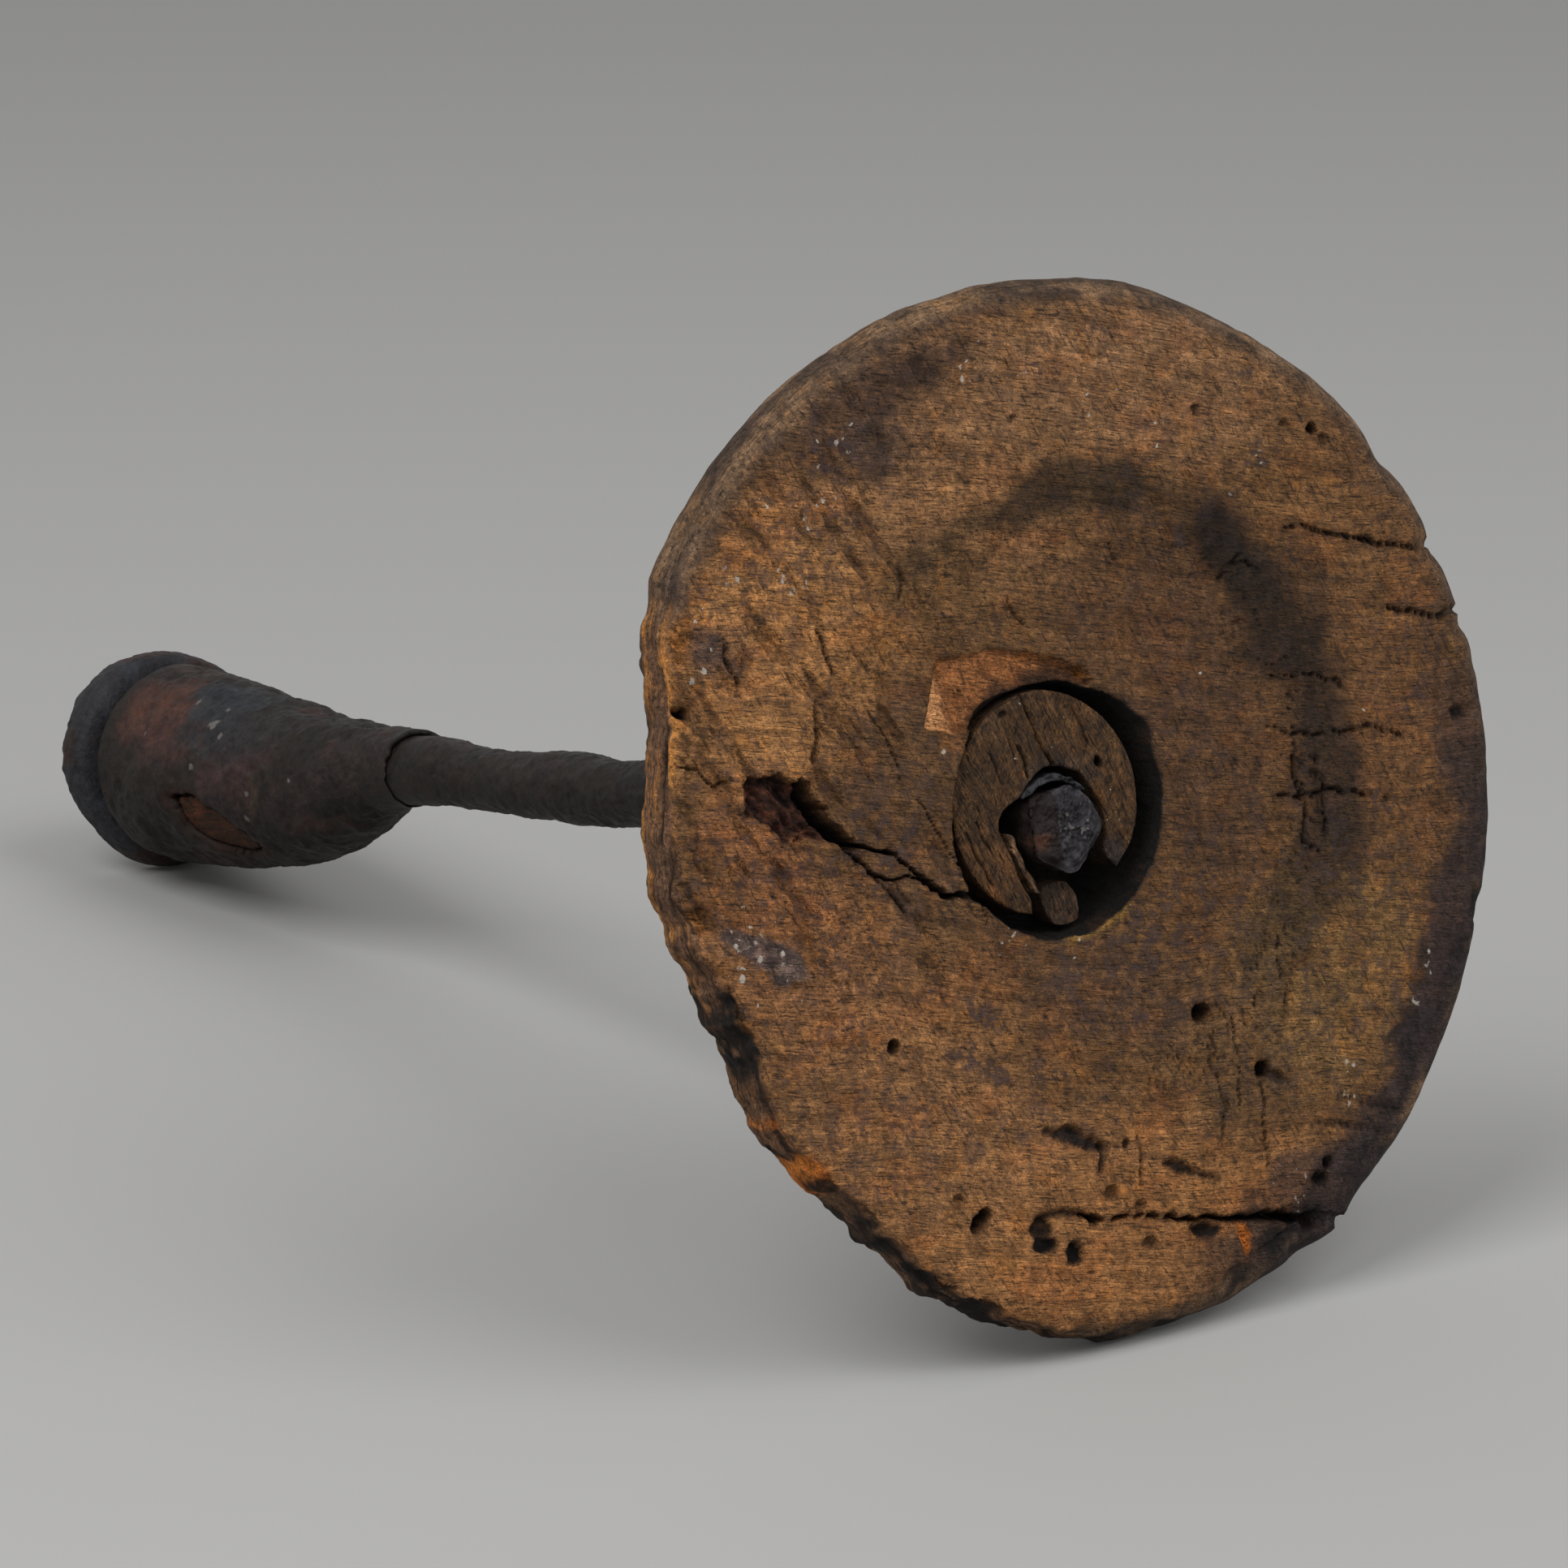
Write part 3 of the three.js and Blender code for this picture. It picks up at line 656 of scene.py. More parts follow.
# The colours below are as seen in the light, and the wood is this share of them.
FACE_TONE = 0.92
OLD_WOOD = linear(118, 83, 49)
BACK_WOOD = linear(94, 64, 38)
CHAR = linear(24, 20, 19)
RAW_WOOD = linear(150, 98, 50)
CHIP_WOOD = linear(232, 166, 108)
PATINA = linear(66, 53, 53)
GOUGE_WOOD = linear(80, 46, 32)

# Old dirt darkens the whorl round this direction, in radians below the right.
DIRTY_WAY = math.radians(38)


def place(u, v, oval):
    """How far each point is from a turned oval's middle: 1 on its edge."""
    at_u, at_v, half_u, half_v, turn = oval[:5]
    c, s = math.cos(math.radians(turn)), math.sin(math.radians(turn))
    du, dv = u - at_u, v - at_v
    return np.hypot((du * c + dv * s) / half_u, (dv * c - du * s) / half_v)


def inside_any(u, v, ovals, outer, inner):
    """1 well inside any of some turned ovals, 0 well outside them all."""
    return np.maximum.reduce([smooth(outer, inner, place(u, v, oval)) for oval in ovals])


def from_hole(u, v):
    """How far points of the drawing are from its hole's edge: negative inside."""
    return np.hypot(u - DRAWN_HOLE[0], v - DRAWN_HOLE[1]) - DRAWN_HOLE_RADIUS


def beside(u, v, path):
    """Distance to a path less its half width, and the half width there."""
    edge = np.full(u.shape, 1e9)
    half = np.ones(u.shape)
    for (u0, v0, w0), (u1, v1, w1) in itertools.pairwise(path):
        du, dv = u1 - u0, v1 - v0
        t = clamp(((u - u0) * du + (v - v0) * dv) / (du * du + dv * dv))
        w = w0 + (w1 - w0) * t
        d = np.hypot(u - u0 - t * du, v - v0 - t * dv) - w
        nearer = d < edge
        edge = np.where(nearer, d, edge)
        half = np.where(nearer, w, half)
    return edge, half


def drawn_at(u, v):
    """Where points of the face are on the drawing that places its marks. The drawing is a
    little larger than the face, and is moved sideways in the dish."""
    in_dish = 1 - smooth(DISH_INNER, DISH_OUTER, np.hypot(u, v))
    return 1.038 * u - 0.85 * in_dish, 1.02 * v - 0.012 * u + 0.1 + 0.15 * in_dish


def inside_outline(u, v, outline):
    """Distance into a closed outline: positive inside."""
    edge = np.full(u.shape, 1e9)
    crossings = np.zeros(u.shape, int)
    for (u0, v0), (u1, v1) in zip(outline, outline[1:] + outline[:1], strict=True):
        du, dv = u1 - u0, v1 - v0
        t = clamp(((u - u0) * du + (v - v0) * dv) / (du * du + dv * dv))
        edge = np.minimum(edge, np.hypot(u - u0 - t * du, v - v0 - t * dv))
        if v0 != v1:
            spans = (v0 > v) != (v1 > v)
            crossings += spans & (u < u0 + (v - v0) * du / dv)
    return np.where(crossings % 2 == 1, edge, -edge)


def worn_share(angle):
    """The rim's radius at an angle, and from 0 to 1 how much it is worn there."""
    radius = np.full_like(angle, RIM_RADIUS)
    for facing, distance in WORN_EDGES:
        slant = np.cos(angle - math.radians(facing))
        edge = distance / np.maximum(slant, 0.5)
        radius = np.minimum(radius, np.where(slant > 0.5, edge, RIM_RADIUS))
    share = smooth(0.2, 2.4, RIM_RADIUS - radius)
    around = flat(np.cos(angle), np.sin(angle)) * RIM_RADIUS
    ragged = 0.55 * rough(around, 7, 2, 3) + 0.3 * rough(around, 2.2, 3, 4)
    gentle = 0.5 * noise(around, 22, 5) + 0.12 * rough(around, 4, 3, 6) - 0.3
    return radius + share * ragged + (1 - share) * gentle - dented(angle, RIM_DENTS), share


def grain_at(u, v, depth):
    """Millimetres along, across and through the grain, which waves a little."""
    c, s = math.cos(GRAIN_TURN), math.sin(GRAIN_TURN)
    wave = 1.3 * noise(flat(u, v), 30, 11) + 0.25 * noise(flat(u, v), 8, 12)
    return np.stack([u * c + v * s, v * c - u * s + wave, depth + 0.02 * u], -1)


def face_relief(u, v):
    """How deep each point of the face lies, and how dark, split, chipped, burnt, raw and torn
    it is, from 0 to 1. The dark and split marks are painted shade in its hollows and splits."""
    at = flat(u, v)
    warp_u = u + 0.3 * rough(at, 1.7, 3, 21)
    warp_v = v + 0.3 * rough(at, 1.7, 3, 22)
    radius = np.hypot(u, v)
    depth = DISH_DEPTH * (1 - smooth(DISH_INNER, DISH_OUTER, radius))
    depth += 0.22 * noise(at, 17, 23) + 0.1 * noise(at, 6, 24)
    grain = grain_at(u, v, 0)
    leftness = smooth(2, -26, u) * smooth(-40, -10, v + 0.3 * u)
    fibre = rough(grain, (9, 0.75, 1), 3, 25)
    depth += (0.035 + 0.05 * leftness) * fibre
    tear_along = np.stack([u * 0.5 - v * 0.87, u * 0.87 + v * 0.5, 0 * u], -1)
    tear = rough(tear_along, (7, 1.5, 1), 4, 26)
    depth += leftness * 0.42 * smooth(0.2, 0.75, tear)
    gullies = leftness * smooth(0.35, 0.8, tear)
    # The dish's step is finely crackled on the right, and the crackle is darkened with painted
    # shade.
    on_step = np.exp(-((radius - 27) / 3.2) ** 2)
    on_step *= smooth(-0.2, 0.8, np.cos(np.arctan2(v, u) + 0.25))
    crackle = on_step * smooth(0.93, 1.0, 1 - np.abs(rough(at, (1.7, 3.2, 1), 3, 27)))
    depth += 0.3 * crackle
    dark = 0.5 * gullies + 0.75 * crackle
    split = np.zeros_like(u)
    for path, deep in CRACKS:
        edge, half = beside(warp_u, warp_v, path)
        into = clamp(-edge / half + 0.15)
        depth += deep * into**0.7 * (edge < 0.15 * half)
        split = np.maximum(split, smooth(0.25, -0.12, edge) * min(1, deep / 1.2))
    torn_u, torn_v = u + 0.9 * rough(at, 2.6, 4, 36), v + 0.9 * rough(at, 2.6, 4, 37)
    lens = smooth(-0.15, 0.3, inside_outline(torn_u, torn_v, CAVITY))
    ribs = rough(tear_along, (2.6, 0.9, 1), 4, 35)
    depth += lens * (1.2 + 0.8 * ribs + 0.6 * smooth(-35, -31, u))
    dark = np.maximum(dark, lens * 0.85 * smooth(0, 0.6, ribs))
    for path, deep in GOUGES:
        into = smooth(0.2, -0.5, beside(warp_u, warp_v, path)[0])
        depth += deep * into * (0.8 + 0.3 * rough(at, 0.9, 2, 28))
        dark = np.maximum(dark, 0.95 * into)
    pit_u, pit_v = u + 0.08 * noise(at, 0.8, 29), v + 0.08 * noise(at, 0.8, 30)
    for *pit, deep, darkness in PITS:
        q = place(pit_u, pit_v, pit)
        depth += deep * smooth(1.15, 0.8, q)
        dark = np.maximum(dark, darkness * smooth(1.3, 0.95, q))
    chip_u, chip_v = u + 0.15 * noise(at, 1.5, 31), v + 0.15 * noise(at, 1.5, 32)
    chip = smooth(-0.12, 0.22, inside_outline(chip_u, chip_v, CHIP))
    depth += chip * (0.45 + 0.5 * smooth(5, 0.5, from_hole(u, v)))
    depth -= 0.12 * smooth(1.15, 0.85, place(warp_u, warp_v, SKIN))
    burn = inside_any(warp_u + 0.5 * noise(at, 3, 33), warp_v, BURNS, 1.3, 0.6)
    depth += burn * (0.35 + 0.3 * rough(at, (0.9, 1.3, 1), 3, 34))
    raw = inside_any(warp_u, warp_v, RAW_PLACES, 1.25, 0.7)
    depth += raw * (0.5 + 0.25 * fibre)
    return depth, {"dark": clamp(dark), "split": split, "lens": lens, "chip": chip,
                   "burn": burn, "raw": raw}


def face_paint(u, v, marks):
    """The colours of the face, from its stains, partly painted light and shade, to the painted
    black shade of its splits.
    """
    at = flat(u, v)
    wide_u = u + 2.2 * rough(at, 8, 3, 41)
    wide_v = v + 2.2 * rough(at, 8, 3, 42)
    # The stains, with light patches on the left that are partly painted light and a dark band round
    # the dish's step that is partly painted shade.
    colour = coated(OLD_WOOD, *(
        (linear(*tone), strength * smooth(1.35, 0.45, place(wide_u, wide_v, oval)))
        for *oval, tone, strength in STAINS_LIGHT_AND_SHADE))
    skin = place(u + 0.5 * rough(at, 2, 3, 53), v + 0.5 * rough(at, 2, 3, 54), SKIN)
    radius = np.hypot(u, v)
    dirty = smooth(0.62, 0.88, np.cos(np.arctan2(v, u) + DIRTY_WAY))
    dirty *= smooth(42.5, 46.5, radius + 3 * rough(at, 5, 4, 55))
    colour = coated(
        colour,
        (linear(102, 90, 88), 0.8 * smooth(1.15, 0.8, skin)),
        (linear(78, 54, 34), 0.55 * smooth(47.5, 50, radius + 0.6 * rough(at, 3, 2, 43))),
        (linear(52, 42, 42), 0.85 * dirty))
    colour = varied(colour, 0.16 * rough(grain_at(u, v, 0), (14, 1.1, 1), 4, 44))
    red = smooth(0.1, 0.9, rough(at, (6, 3, 1), 4, 45))
    colour = mixed(colour, colour * np.array([1.16, 0.93, 0.8]), 0.45 * red)
    hole_distance = from_hole(u, v)
    # Painted shade: the face darkens within a millimetre of the hole's edge, except on the chip.
    colour = varied(colour, -0.3 * smooth(1, 0, hole_distance) * (1 - marks["chip"]))
    # A yellow lip runs under the hole.
    below = np.cos(np.arctan2(v - DRAWN_HOLE[1], u - DRAWN_HOLE[0]) + math.radians(74))
    lip = smooth(0.75, 0.2, hole_distance) * smooth(0.9, 0.98, below)
    shaded = smooth(2.6, 0.3, hole_distance + 0.6 * rough(at, 2, 3, 50)) * smooth(-14, -10, u)
    chip = coated(
        varied(CHIP_WOOD, 0.14 * rough(grain_at(u, v, 0), (6, 0.5, 1), 3, 47)),
        (linear(150, 92, 50), 0.85 * smooth(-14.8, -13.2, u + 0.35 * (v - 12))),
        (linear(52, 34, 24), 0.9 * shaded))
    gouge = varied(GOUGE_WOOD, 0.9 * rough(at, (1.1, 0.4, 1), 4, 46) - 0.1)
    fresh = mixed(RAW_WOOD, linear(196, 112, 42), smooth(-15, -25, v))
    return FACE_TONE * coated(
        colour,
        (linear(160, 120, 58), 0.85 * lip),
        (gouge, marks["lens"]),
        (chip, marks["chip"]),
        (varied(fresh, 0.4 * rough(at, (0.8, 0.8, 1), 3, 48)), marks["raw"]),
        (CHAR, marks["burn"] * clamp(0.8 + 0.5 * rough(at, 1.1, 3, 49))),
        # Painted shade: near-black in the gullies, crackle, cavity ribs, gouges and pits, and
        # blacker still in the splits.
        (linear(20, 14, 11), marks["dark"]),
        (linear(10, 8, 7), marks["split"]))


def crumbs_at(u, v):
    """Small pale specks scattered round the places in CRUMBS."""
    draw = np.random.default_rng(7)
    total = np.zeros_like(u)
    for at_u, at_v, spread, count in CRUMBS:
        for _ in range(count):
            cu, cv = draw.normal((at_u, at_v), spread * 0.6)
            size = draw.uniform(0.1, 0.34)
            bright = draw.uniform(0.55, 1)
            near = (np.abs(u - cu) < 1) & (np.abs(v - cv) < 1)
            d = np.hypot(u[near] - cu, (v[near] - cv) * draw.uniform(0.7, 1.6))
            total[near] = np.maximum(total[near], bright * smooth(size * 1.7, size * 0.4, d))
    return total


def whorl_grid():
    """The whorl's points, row by row: up the hole, out over the face, round the rim and back.
    Also how worn the rim is at each column."""
    columns, face_rows = ((740, 118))
    rim_rows, back_rows, wall_rows = 34, 24, 14
    # The columns are closer together towards the camera's side.
    even = full_turn(columns)
    angle = even + 0.3 * np.sin(even - math.radians(25))
    way = ways_at(angle)
    ragged = 0.16 * rough(flat(*way.T) * HOLE_RADIUS, 2.2, 3, 51)
    hole_edge = HOLE_RADIUS + ragged + dented(angle, HOLE_BITES) + 0.15
    # How far each column goes to meet the rim, which is round another middle.
    reach = np.full(columns, 45.0)
    for _ in range(14):
        spot = HOLE_MIDDLE + way * reach[:, None]
        round_angle = np.arctan2(spot[:, 1], spot[:, 0])
        rim, share = worn_share(round_angle)
        inset = SOUND_RIM[0][0] + (WORN_RIM[0][0] - SOUND_RIM[0][0]) * share
        reach += rim - inset - np.hypot(spot[:, 0], spot[:, 1])
    rows = dict.fromkeys(("wall", "face", "rim", "back"))
    steps = np.linspace(0, 1, face_rows)[:, None]
    radius = hole_edge + (reach - hole_edge) * steps
    rows["face"] = np.stack([
        np.zeros_like(radius),
        HOLE_MIDDLE[0] + radius * way[:, 0],
        HOLE_MIDDLE[1] + radius * way[:, 1],
    ], -1)
    sound, worn = (through(edge, rim_rows + 1)[1:, None] for edge in (SOUND_RIM, WORN_RIM))
    section = sound * (1 - share)[None, :, None] + worn * share[None, :, None]
    rim_way = ways_at(round_angle)
    around = rim - section[..., 0]
    rows["rim"] = np.stack([-section[..., 1], around * rim_way[:, 0], around * rim_way[:, 1]], -1)
    steps = np.linspace(0, 1, back_rows + 1)[1:, None]
    last = rows["rim"][-1]
    hole_back = HOLE_BACK_MIDDLE + way * (HOLE_BACK_RADIUS + 0.3)
    y = last[:, 1] + (hole_back[:, 0] - last[:, 1]) * steps
    z = last[:, 2] + (hole_back[:, 1] - last[:, 2]) * steps
    out = np.hypot(y, z)
    lost = smooth(DISH_INNER, 46.5, out) * (RIM_RADIUS - rim)
    section = np.array(BACK_SECTION)
    depth = np.interp(out + lost, section[:, 0], section[:, 1])
    depth += (-last[:, 0] - depth[0]) * (1 - steps) ** 2
    rows["back"] = np.stack([-depth, y, z], -1)
    steps = np.linspace(0, 1, wall_rows + 2)[1:-1, None]
    wall_depth = THICKNESS - 0.1 - steps * (THICKNESS - DISH_DEPTH - 0.3)
    flare = (hole_edge - HOLE_RADIUS) * smooth(3.4, 1.7, wall_depth)
    wide = np.ones((wall_rows, columns))
    spots = np.stack([wall_depth * wide, 12 * way[:, 0] * wide, 12 * way[:, 1] * wide], -1)
    pits = rough(spots, (2.6, 1.1, 1.1), 3, 52) * smooth(12, 8, wall_depth)
    inward = wall_depth / THICKNESS
    wall = HOLE_RADIUS + (HOLE_BACK_RADIUS - HOLE_RADIUS) * inward + flare + 0.22 * clamp(pits)
    middle = HOLE_MIDDLE + (HOLE_BACK_MIDDLE - HOLE_MIDDLE) * inward
    rows["wall"] = np.stack([
        -wall_depth * wide,
        middle[:, :1] + wall * way[:, 0],
        middle[:, 1:] + wall * way[:, 1],
    ], -1)
    return rows, share


def make_whorl():
    rows, share = whorl_grid()
    grid = np.vstack(list(rows.values()))
    ends = np.cumsum([0] + [len(part) for part in rows.values()])
    wall, face, rim, back = (slice(*pair) for pair in itertools.pairwise(ends))
    rim_steps = np.arange(rim.stop - rim.start)[:, None]

    def only(part, values=1.0):
        """Values on one part of the grid, and 0 on the others."""
        spread = np.zeros(grid.shape[:2])
        spread[part] = values
        return spread

    u, v = grid[..., 1].copy(), grid[..., 2].copy()
    drawn_u, drawn_v = drawn_at(u, v)
    relief, marks = face_relief(drawn_u, drawn_v)
    notch = marks["split"] * 0.8 + marks["burn"] * 0.35
    notch *= only(rim, 0.4 + smooth(3.5, 0.5, -grid[rim, :, 0]))
    grid[face, :, 0] -= relief[face]
    # The hole's last wall row lies just under the face's edge, so that the edge is crisp.
    grid[wall.stop - 1, :, 0] = grid[face.start, :, 0] - 0.16
    grid[..., 1:] *= (1 - notch / np.maximum(np.hypot(u, v), 1))[..., None]
    # The rim's first rows follow the face's edge down.
    grid[rim, :, 0] -= relief[face.stop - 1] * smooth(9, 0, rim_steps)
    layers = rough(np.stack([grid[..., 0], u, v], -1), (0.8, 12, 12), 4, 61)
    torn = only(rim) * share * (0.28 * layers + 0.22 * rough(grid, 2.2, 3, 62))
    quiet_rim = only(rim) * (1 - share) * 0.08 * rough(grid, (1, 3, 3), 3, 65)
    back_grain = grain_at(u, v, -grid[..., 0])
    worn_back = 0.25 * rough(grid, 7, 4, 63) + 0.08 * rough(back_grain, (9, 0.9, 1), 3, 64)
    wear = torn + only(back) * worn_back + quiet_rim
    grid = grid + outward(grid, True) * wear[..., None]

    torn_tone = coated(
        linear(112, 82, 60),
        (linear(190, 128, 62), smooth(0.05, 0.45, layers) * smooth(-24, -2, v) * 0.9),
        (linear(46, 31, 22), smooth(-0.25, -0.6, layers)),
        (CHAR, smooth(0.1, 0.5, rough(grid, 3.2, 3, 67)) * smooth(4, -10, v)))
    # Low on the right the rim is purple-black with old dirt.
    dirty = smooth(0.62, 0.9, np.cos(np.arctan2(v, u) + DIRTY_WAY))
    side_tone = coated(
        linear(126, 98, 72),
        (linear(74, 58, 46), clamp(0.5 + rough(grid, (1.2, 8, 8), 4, 66))),
        (torn_tone, share[None, :] * np.ones_like(u)),
        (varied(linear(54, 44, 43), 0.5 * rough(grid, 1.6, 4, 72)),
         dirty * smooth(-0.5, 0.1, rough(grid, 4, 3, 73))),
        (varied(linear(204, 122, 50), 0.5 * rough(grid, (0.6, 2, 0.6), 3, 74)),
         0.9 * marks["raw"] * smooth(-20, -25, v)),
        (CHAR, 0.9 * marks["burn"] * smooth(-0.5, 0, rough(grid, 2.2, 3, 75))))
    back_tone = coated(
        BACK_WOOD,
        (linear(58, 42, 32), clamp(rough(grid, 9, 4, 68))),
        (linear(132, 88, 48), clamp(rough(grid, 12, 3, 69))))
    # Painted shade: the hole's wall is near-black deep in, and lighter only near the face.
    hole_wall_shade = mixed(linear(17, 13, 10), linear(52, 32, 20),
                   smooth(0.1, 0.8, rough(grid, 2.4, 3, 70)) * smooth(4.5, 2, -grid[..., 0]))
    paint = coated(
        face_paint(drawn_u, drawn_v, marks),
        (side_tone, only(rim, smooth(0, 9, rim_steps))),
        (back_tone, only(back)),
        (hole_wall_shade, only(wall)))

    radius = np.hypot(u, v)
    turn = np.unwrap(np.arctan2(v, u), axis=1)
    rim_grain = np.stack([turn * 46, -grid[..., 0] * 1.3, radius * 0.7], -1)
    back_steps = np.arange(back.stop - back.start)[:, None]
    side = only(rim, smooth(3, 12, rim_steps)) + only(back, 1 - smooth(0, 9, back_steps))
    patina = 0.35 + 0.3 * rough(flat(u, v), 14, 2, 71)
    patina += 0.25 * smooth(-5, -25, u) * smooth(-30, 5, v)
    patina += 0.3 * np.exp(-(np.hypot(u - 4, v + 2) / 24) ** 2)
    patina *= 1 - smooth(-30, -36, v) * 0.8
    patina = np.maximum(patina, 1.2 * inside_any(drawn_u, drawn_v, PATCHES, 1.3, 0.8))
    bare = np.maximum.reduce([marks[key] for key in ("chip", "raw", "burn", "split")])
    patina *= 1 - np.maximum(bare, marks["lens"] * 0.7)
    masks = {
        "patina": patina * (1 - only(wall)) * (1 - 0.8 * side),
        "dust_and_glints": crumbs_at(drawn_u, drawn_v) * only(face),
        "side": side,
    }
    grain = grain_at(u, v, -grid[..., 0])
    grid[..., 1:] += WHORL_MIDDLE
    build("worn_whorl", grid, "whorl", "whorl_disc",
          wood_material("worn wood", PATINA), paint, grain, masks, wrap_rows=True,
          rim_grain=rim_grain)


# ---------------------------------------------------------------- the packing in the hole

# The bush's section: the angle round its outside in degrees, and the matching point of its
# inner edge as (y, z) from the rod's axis.
BUSH_RADIUS, BUSH_MIDDLE = 10.35, np.array([-0.9, 2.3])
BUSH_STATIONS = (
    (251, -3.3, -7.3), (240, -3.9, -5.7), (224, -4.7, -3.6), (206, -5.6, -1.2), (190, -6.2, 0.7),
    (178, -5.9, 2.1), (164, -4.9, 2.9), (148, -3.7, 3.4), (130, -2.3, 4.8), (104, -0.4, 5.7),
    (76, 2.2, 5.2), (54, 3.9, 4.1), (34, 5, 2.3), (12, 5.6, 0.2), (-8, 5.3, -1.8), (-26, 5.3, -3.3),
    (-42, 6, -4.4),
)
BUSH_FRONT, BUSH_RING, BUSH_BACK = 1.9, 9.2, 14.1
BUSH_GRAIN_TURN = math.radians(-68)

# The cracks and pits of the bush, in (y, z) from this point.
BUSH_DRAWN_FROM = (2.6, 0.5)
BUSH_CRACKS = (
    (((-4.9, 12.2, 0.07), (-4.5, 10.8, 0.06), (-4.1, 9.6, 0.05), (-3.5, 7.8, 0.07),
      (-2.9, 6.5, 0.08), (-2.2, 5.3, 0.12)), 1.2),
    (((-6, 7.6, 0.05), (-5.5, 6.4, 0.1), (-5.1, 4.6, 0.12)), 0.8),
    (((-9.2, 7.6, 0.04), (-8.7, 6, 0.07), (-8.2, 4.4, 0.04)), 0.4),
    (((-6.9, 8.4, 0.04), (-6.6, 7, 0.06), (-6.4, 6, 0.04)), 0.3),
    (((-11.4, 1.4, 0.04), (-10.6, -0.6, 0.07), (-9.8, -2.4, 0.04)), 0.4),
    (((-12.6, 0.6, 0.04), (-11.6, -2, 0.07), (-10.4, -4.6, 0.05)), 0.4),
    (((0.6, 10.4, 0.04), (1.4, 8.4, 0.06), (2, 6.8, 0.04)), 0.3),
)
BUSH_PITS = ((2.8, 4.9, 0.35, 0.55, 20, 1.2, 1), (-7.3, 10.7, 0.4, 0.3, 0, 0.4, 0.6))
BUSH_WOOD = linear(82, 57, 33)

# The wedge's left and right edges and the splinter's middle line, as (y, z). Both pieces and
# the ferrule strip end at one depth, in front of the bush's closed back.
WEDGE_EDGES = (
    ((-1.1, -5.2), (-1.4, -6.2), (-1, -7.8), (-0.5, -8.7), (-0.1, -9.3)),
    ((1.3, -5.1), (1.9, -5.7), (2.7, -7), (2.6, -8.6), (2.3, -9.2)),
)
SPLINTER_PATH = ((-5.2, 0.2), (-4.5, -0.9), (-4.2, -2.1), (-3.3, -3.7), (-2.6, -5), (-1.8, -5.9))
WEDGE_FRONT, SPLINTER_FRONT, PACKING_BACK = 3.3, 2.2, 8.9
WEDGE_GRAIN_TURN, SPLINTER_GRAIN_TURN = math.radians(-80), math.radians(-60)


def rounded_loop(face, side):
    """A rounded rectangle as (share of width, corners across, share of depth, corners deep)."""
    corner = 5
    across, deep = np.linspace(0, 1, face), np.linspace(0, 1, side)
    turn = np.linspace(0, np.pi / 2, corner + 2)[1:-1]
    o, i = np.zeros, np.ones
    parts = [
        (across, 1 - 2 * across, o(face), o(face)),
        (i(corner), np.sin(turn) - 1, o(corner), 1 - np.cos(turn)),
        (i(side), o(side), deep, 1 - 2 * deep),
        (i(corner), np.cos(turn) - 1, i(corner), np.sin(turn) - 1),
        (1 - across, 2 * across - 1, i(face), o(face)),
        (o(corner), 1 - np.sin(turn), i(corner), np.cos(turn) - 1),
        (o(side), o(side), 1 - deep, 2 * deep - 1),
        (o(corner), 1 - np.cos(turn), o(corner), 1 - np.sin(turn)),
    ]
    return np.hstack([np.array(part) for part in parts])


def slab(inner, outer, front, back, face, side, bevel, tips):
    """A bar between two edges, each a row of (y, z), from one depth to another. Its section has
    face points across, side points deep and bevelled corners, and its tips are rounded over
    the two lengths given."""
    span = outer - inner
    width = np.linalg.norm(span, axis=1)
    unit = span / width[:, None]
    middle = (inner + outer) / 2
    along = np.concatenate([[0], np.cumsum(np.linalg.norm(np.diff(middle, axis=0), axis=1))])
    for tip, distance in zip(tips, (along, along[-1] - along), strict=True):
        near = clamp(1 - distance / tip)
        full = width.copy()
        width = width * np.sqrt(np.maximum(1 - near**2, 0.01))
        inner = inner + unit * ((full - width) / 2)[:, None]
    bevels = np.minimum(bevel, 0.45 * width)
    share, offset, depth_share, depth_offset = rounded_loop(face, side)
    a = share * width[:, None] + offset * bevels[:, None]
    depth = front + depth_share * (back - front) + depth_offset * bevels[:, None]
    yz = inner[:, None] + unit[:, None] * a[..., None]
    return np.concatenate([-depth[..., None], yz], -1)


def even_steps(points, count):
    """The same path with its points spread evenly."""
    fine = through(points, 60 * len(points))
    along = np.concatenate([[0], np.cumsum(np.linalg.norm(np.diff(fine[:, :2], axis=0), axis=1))])
    want = np.linspace(0, along[-1], count)
    return np.stack([np.interp(want, along, fine[:, k]) for k in range(fine.shape[1])], -1)


def slanted_grain(grid, turn):
    """Grain that lies in the plane across the rod, for pieces of end wood."""
    c, s = math.cos(turn), math.sin(turn)
    y, z = grid[..., 1], grid[..., 2]
    wave = 0.35 * noise(grid, 4, 81)
    return np.stack([y * c + z * s, z * c - y * s + wave, grid[..., 0] * 0.6], -1)


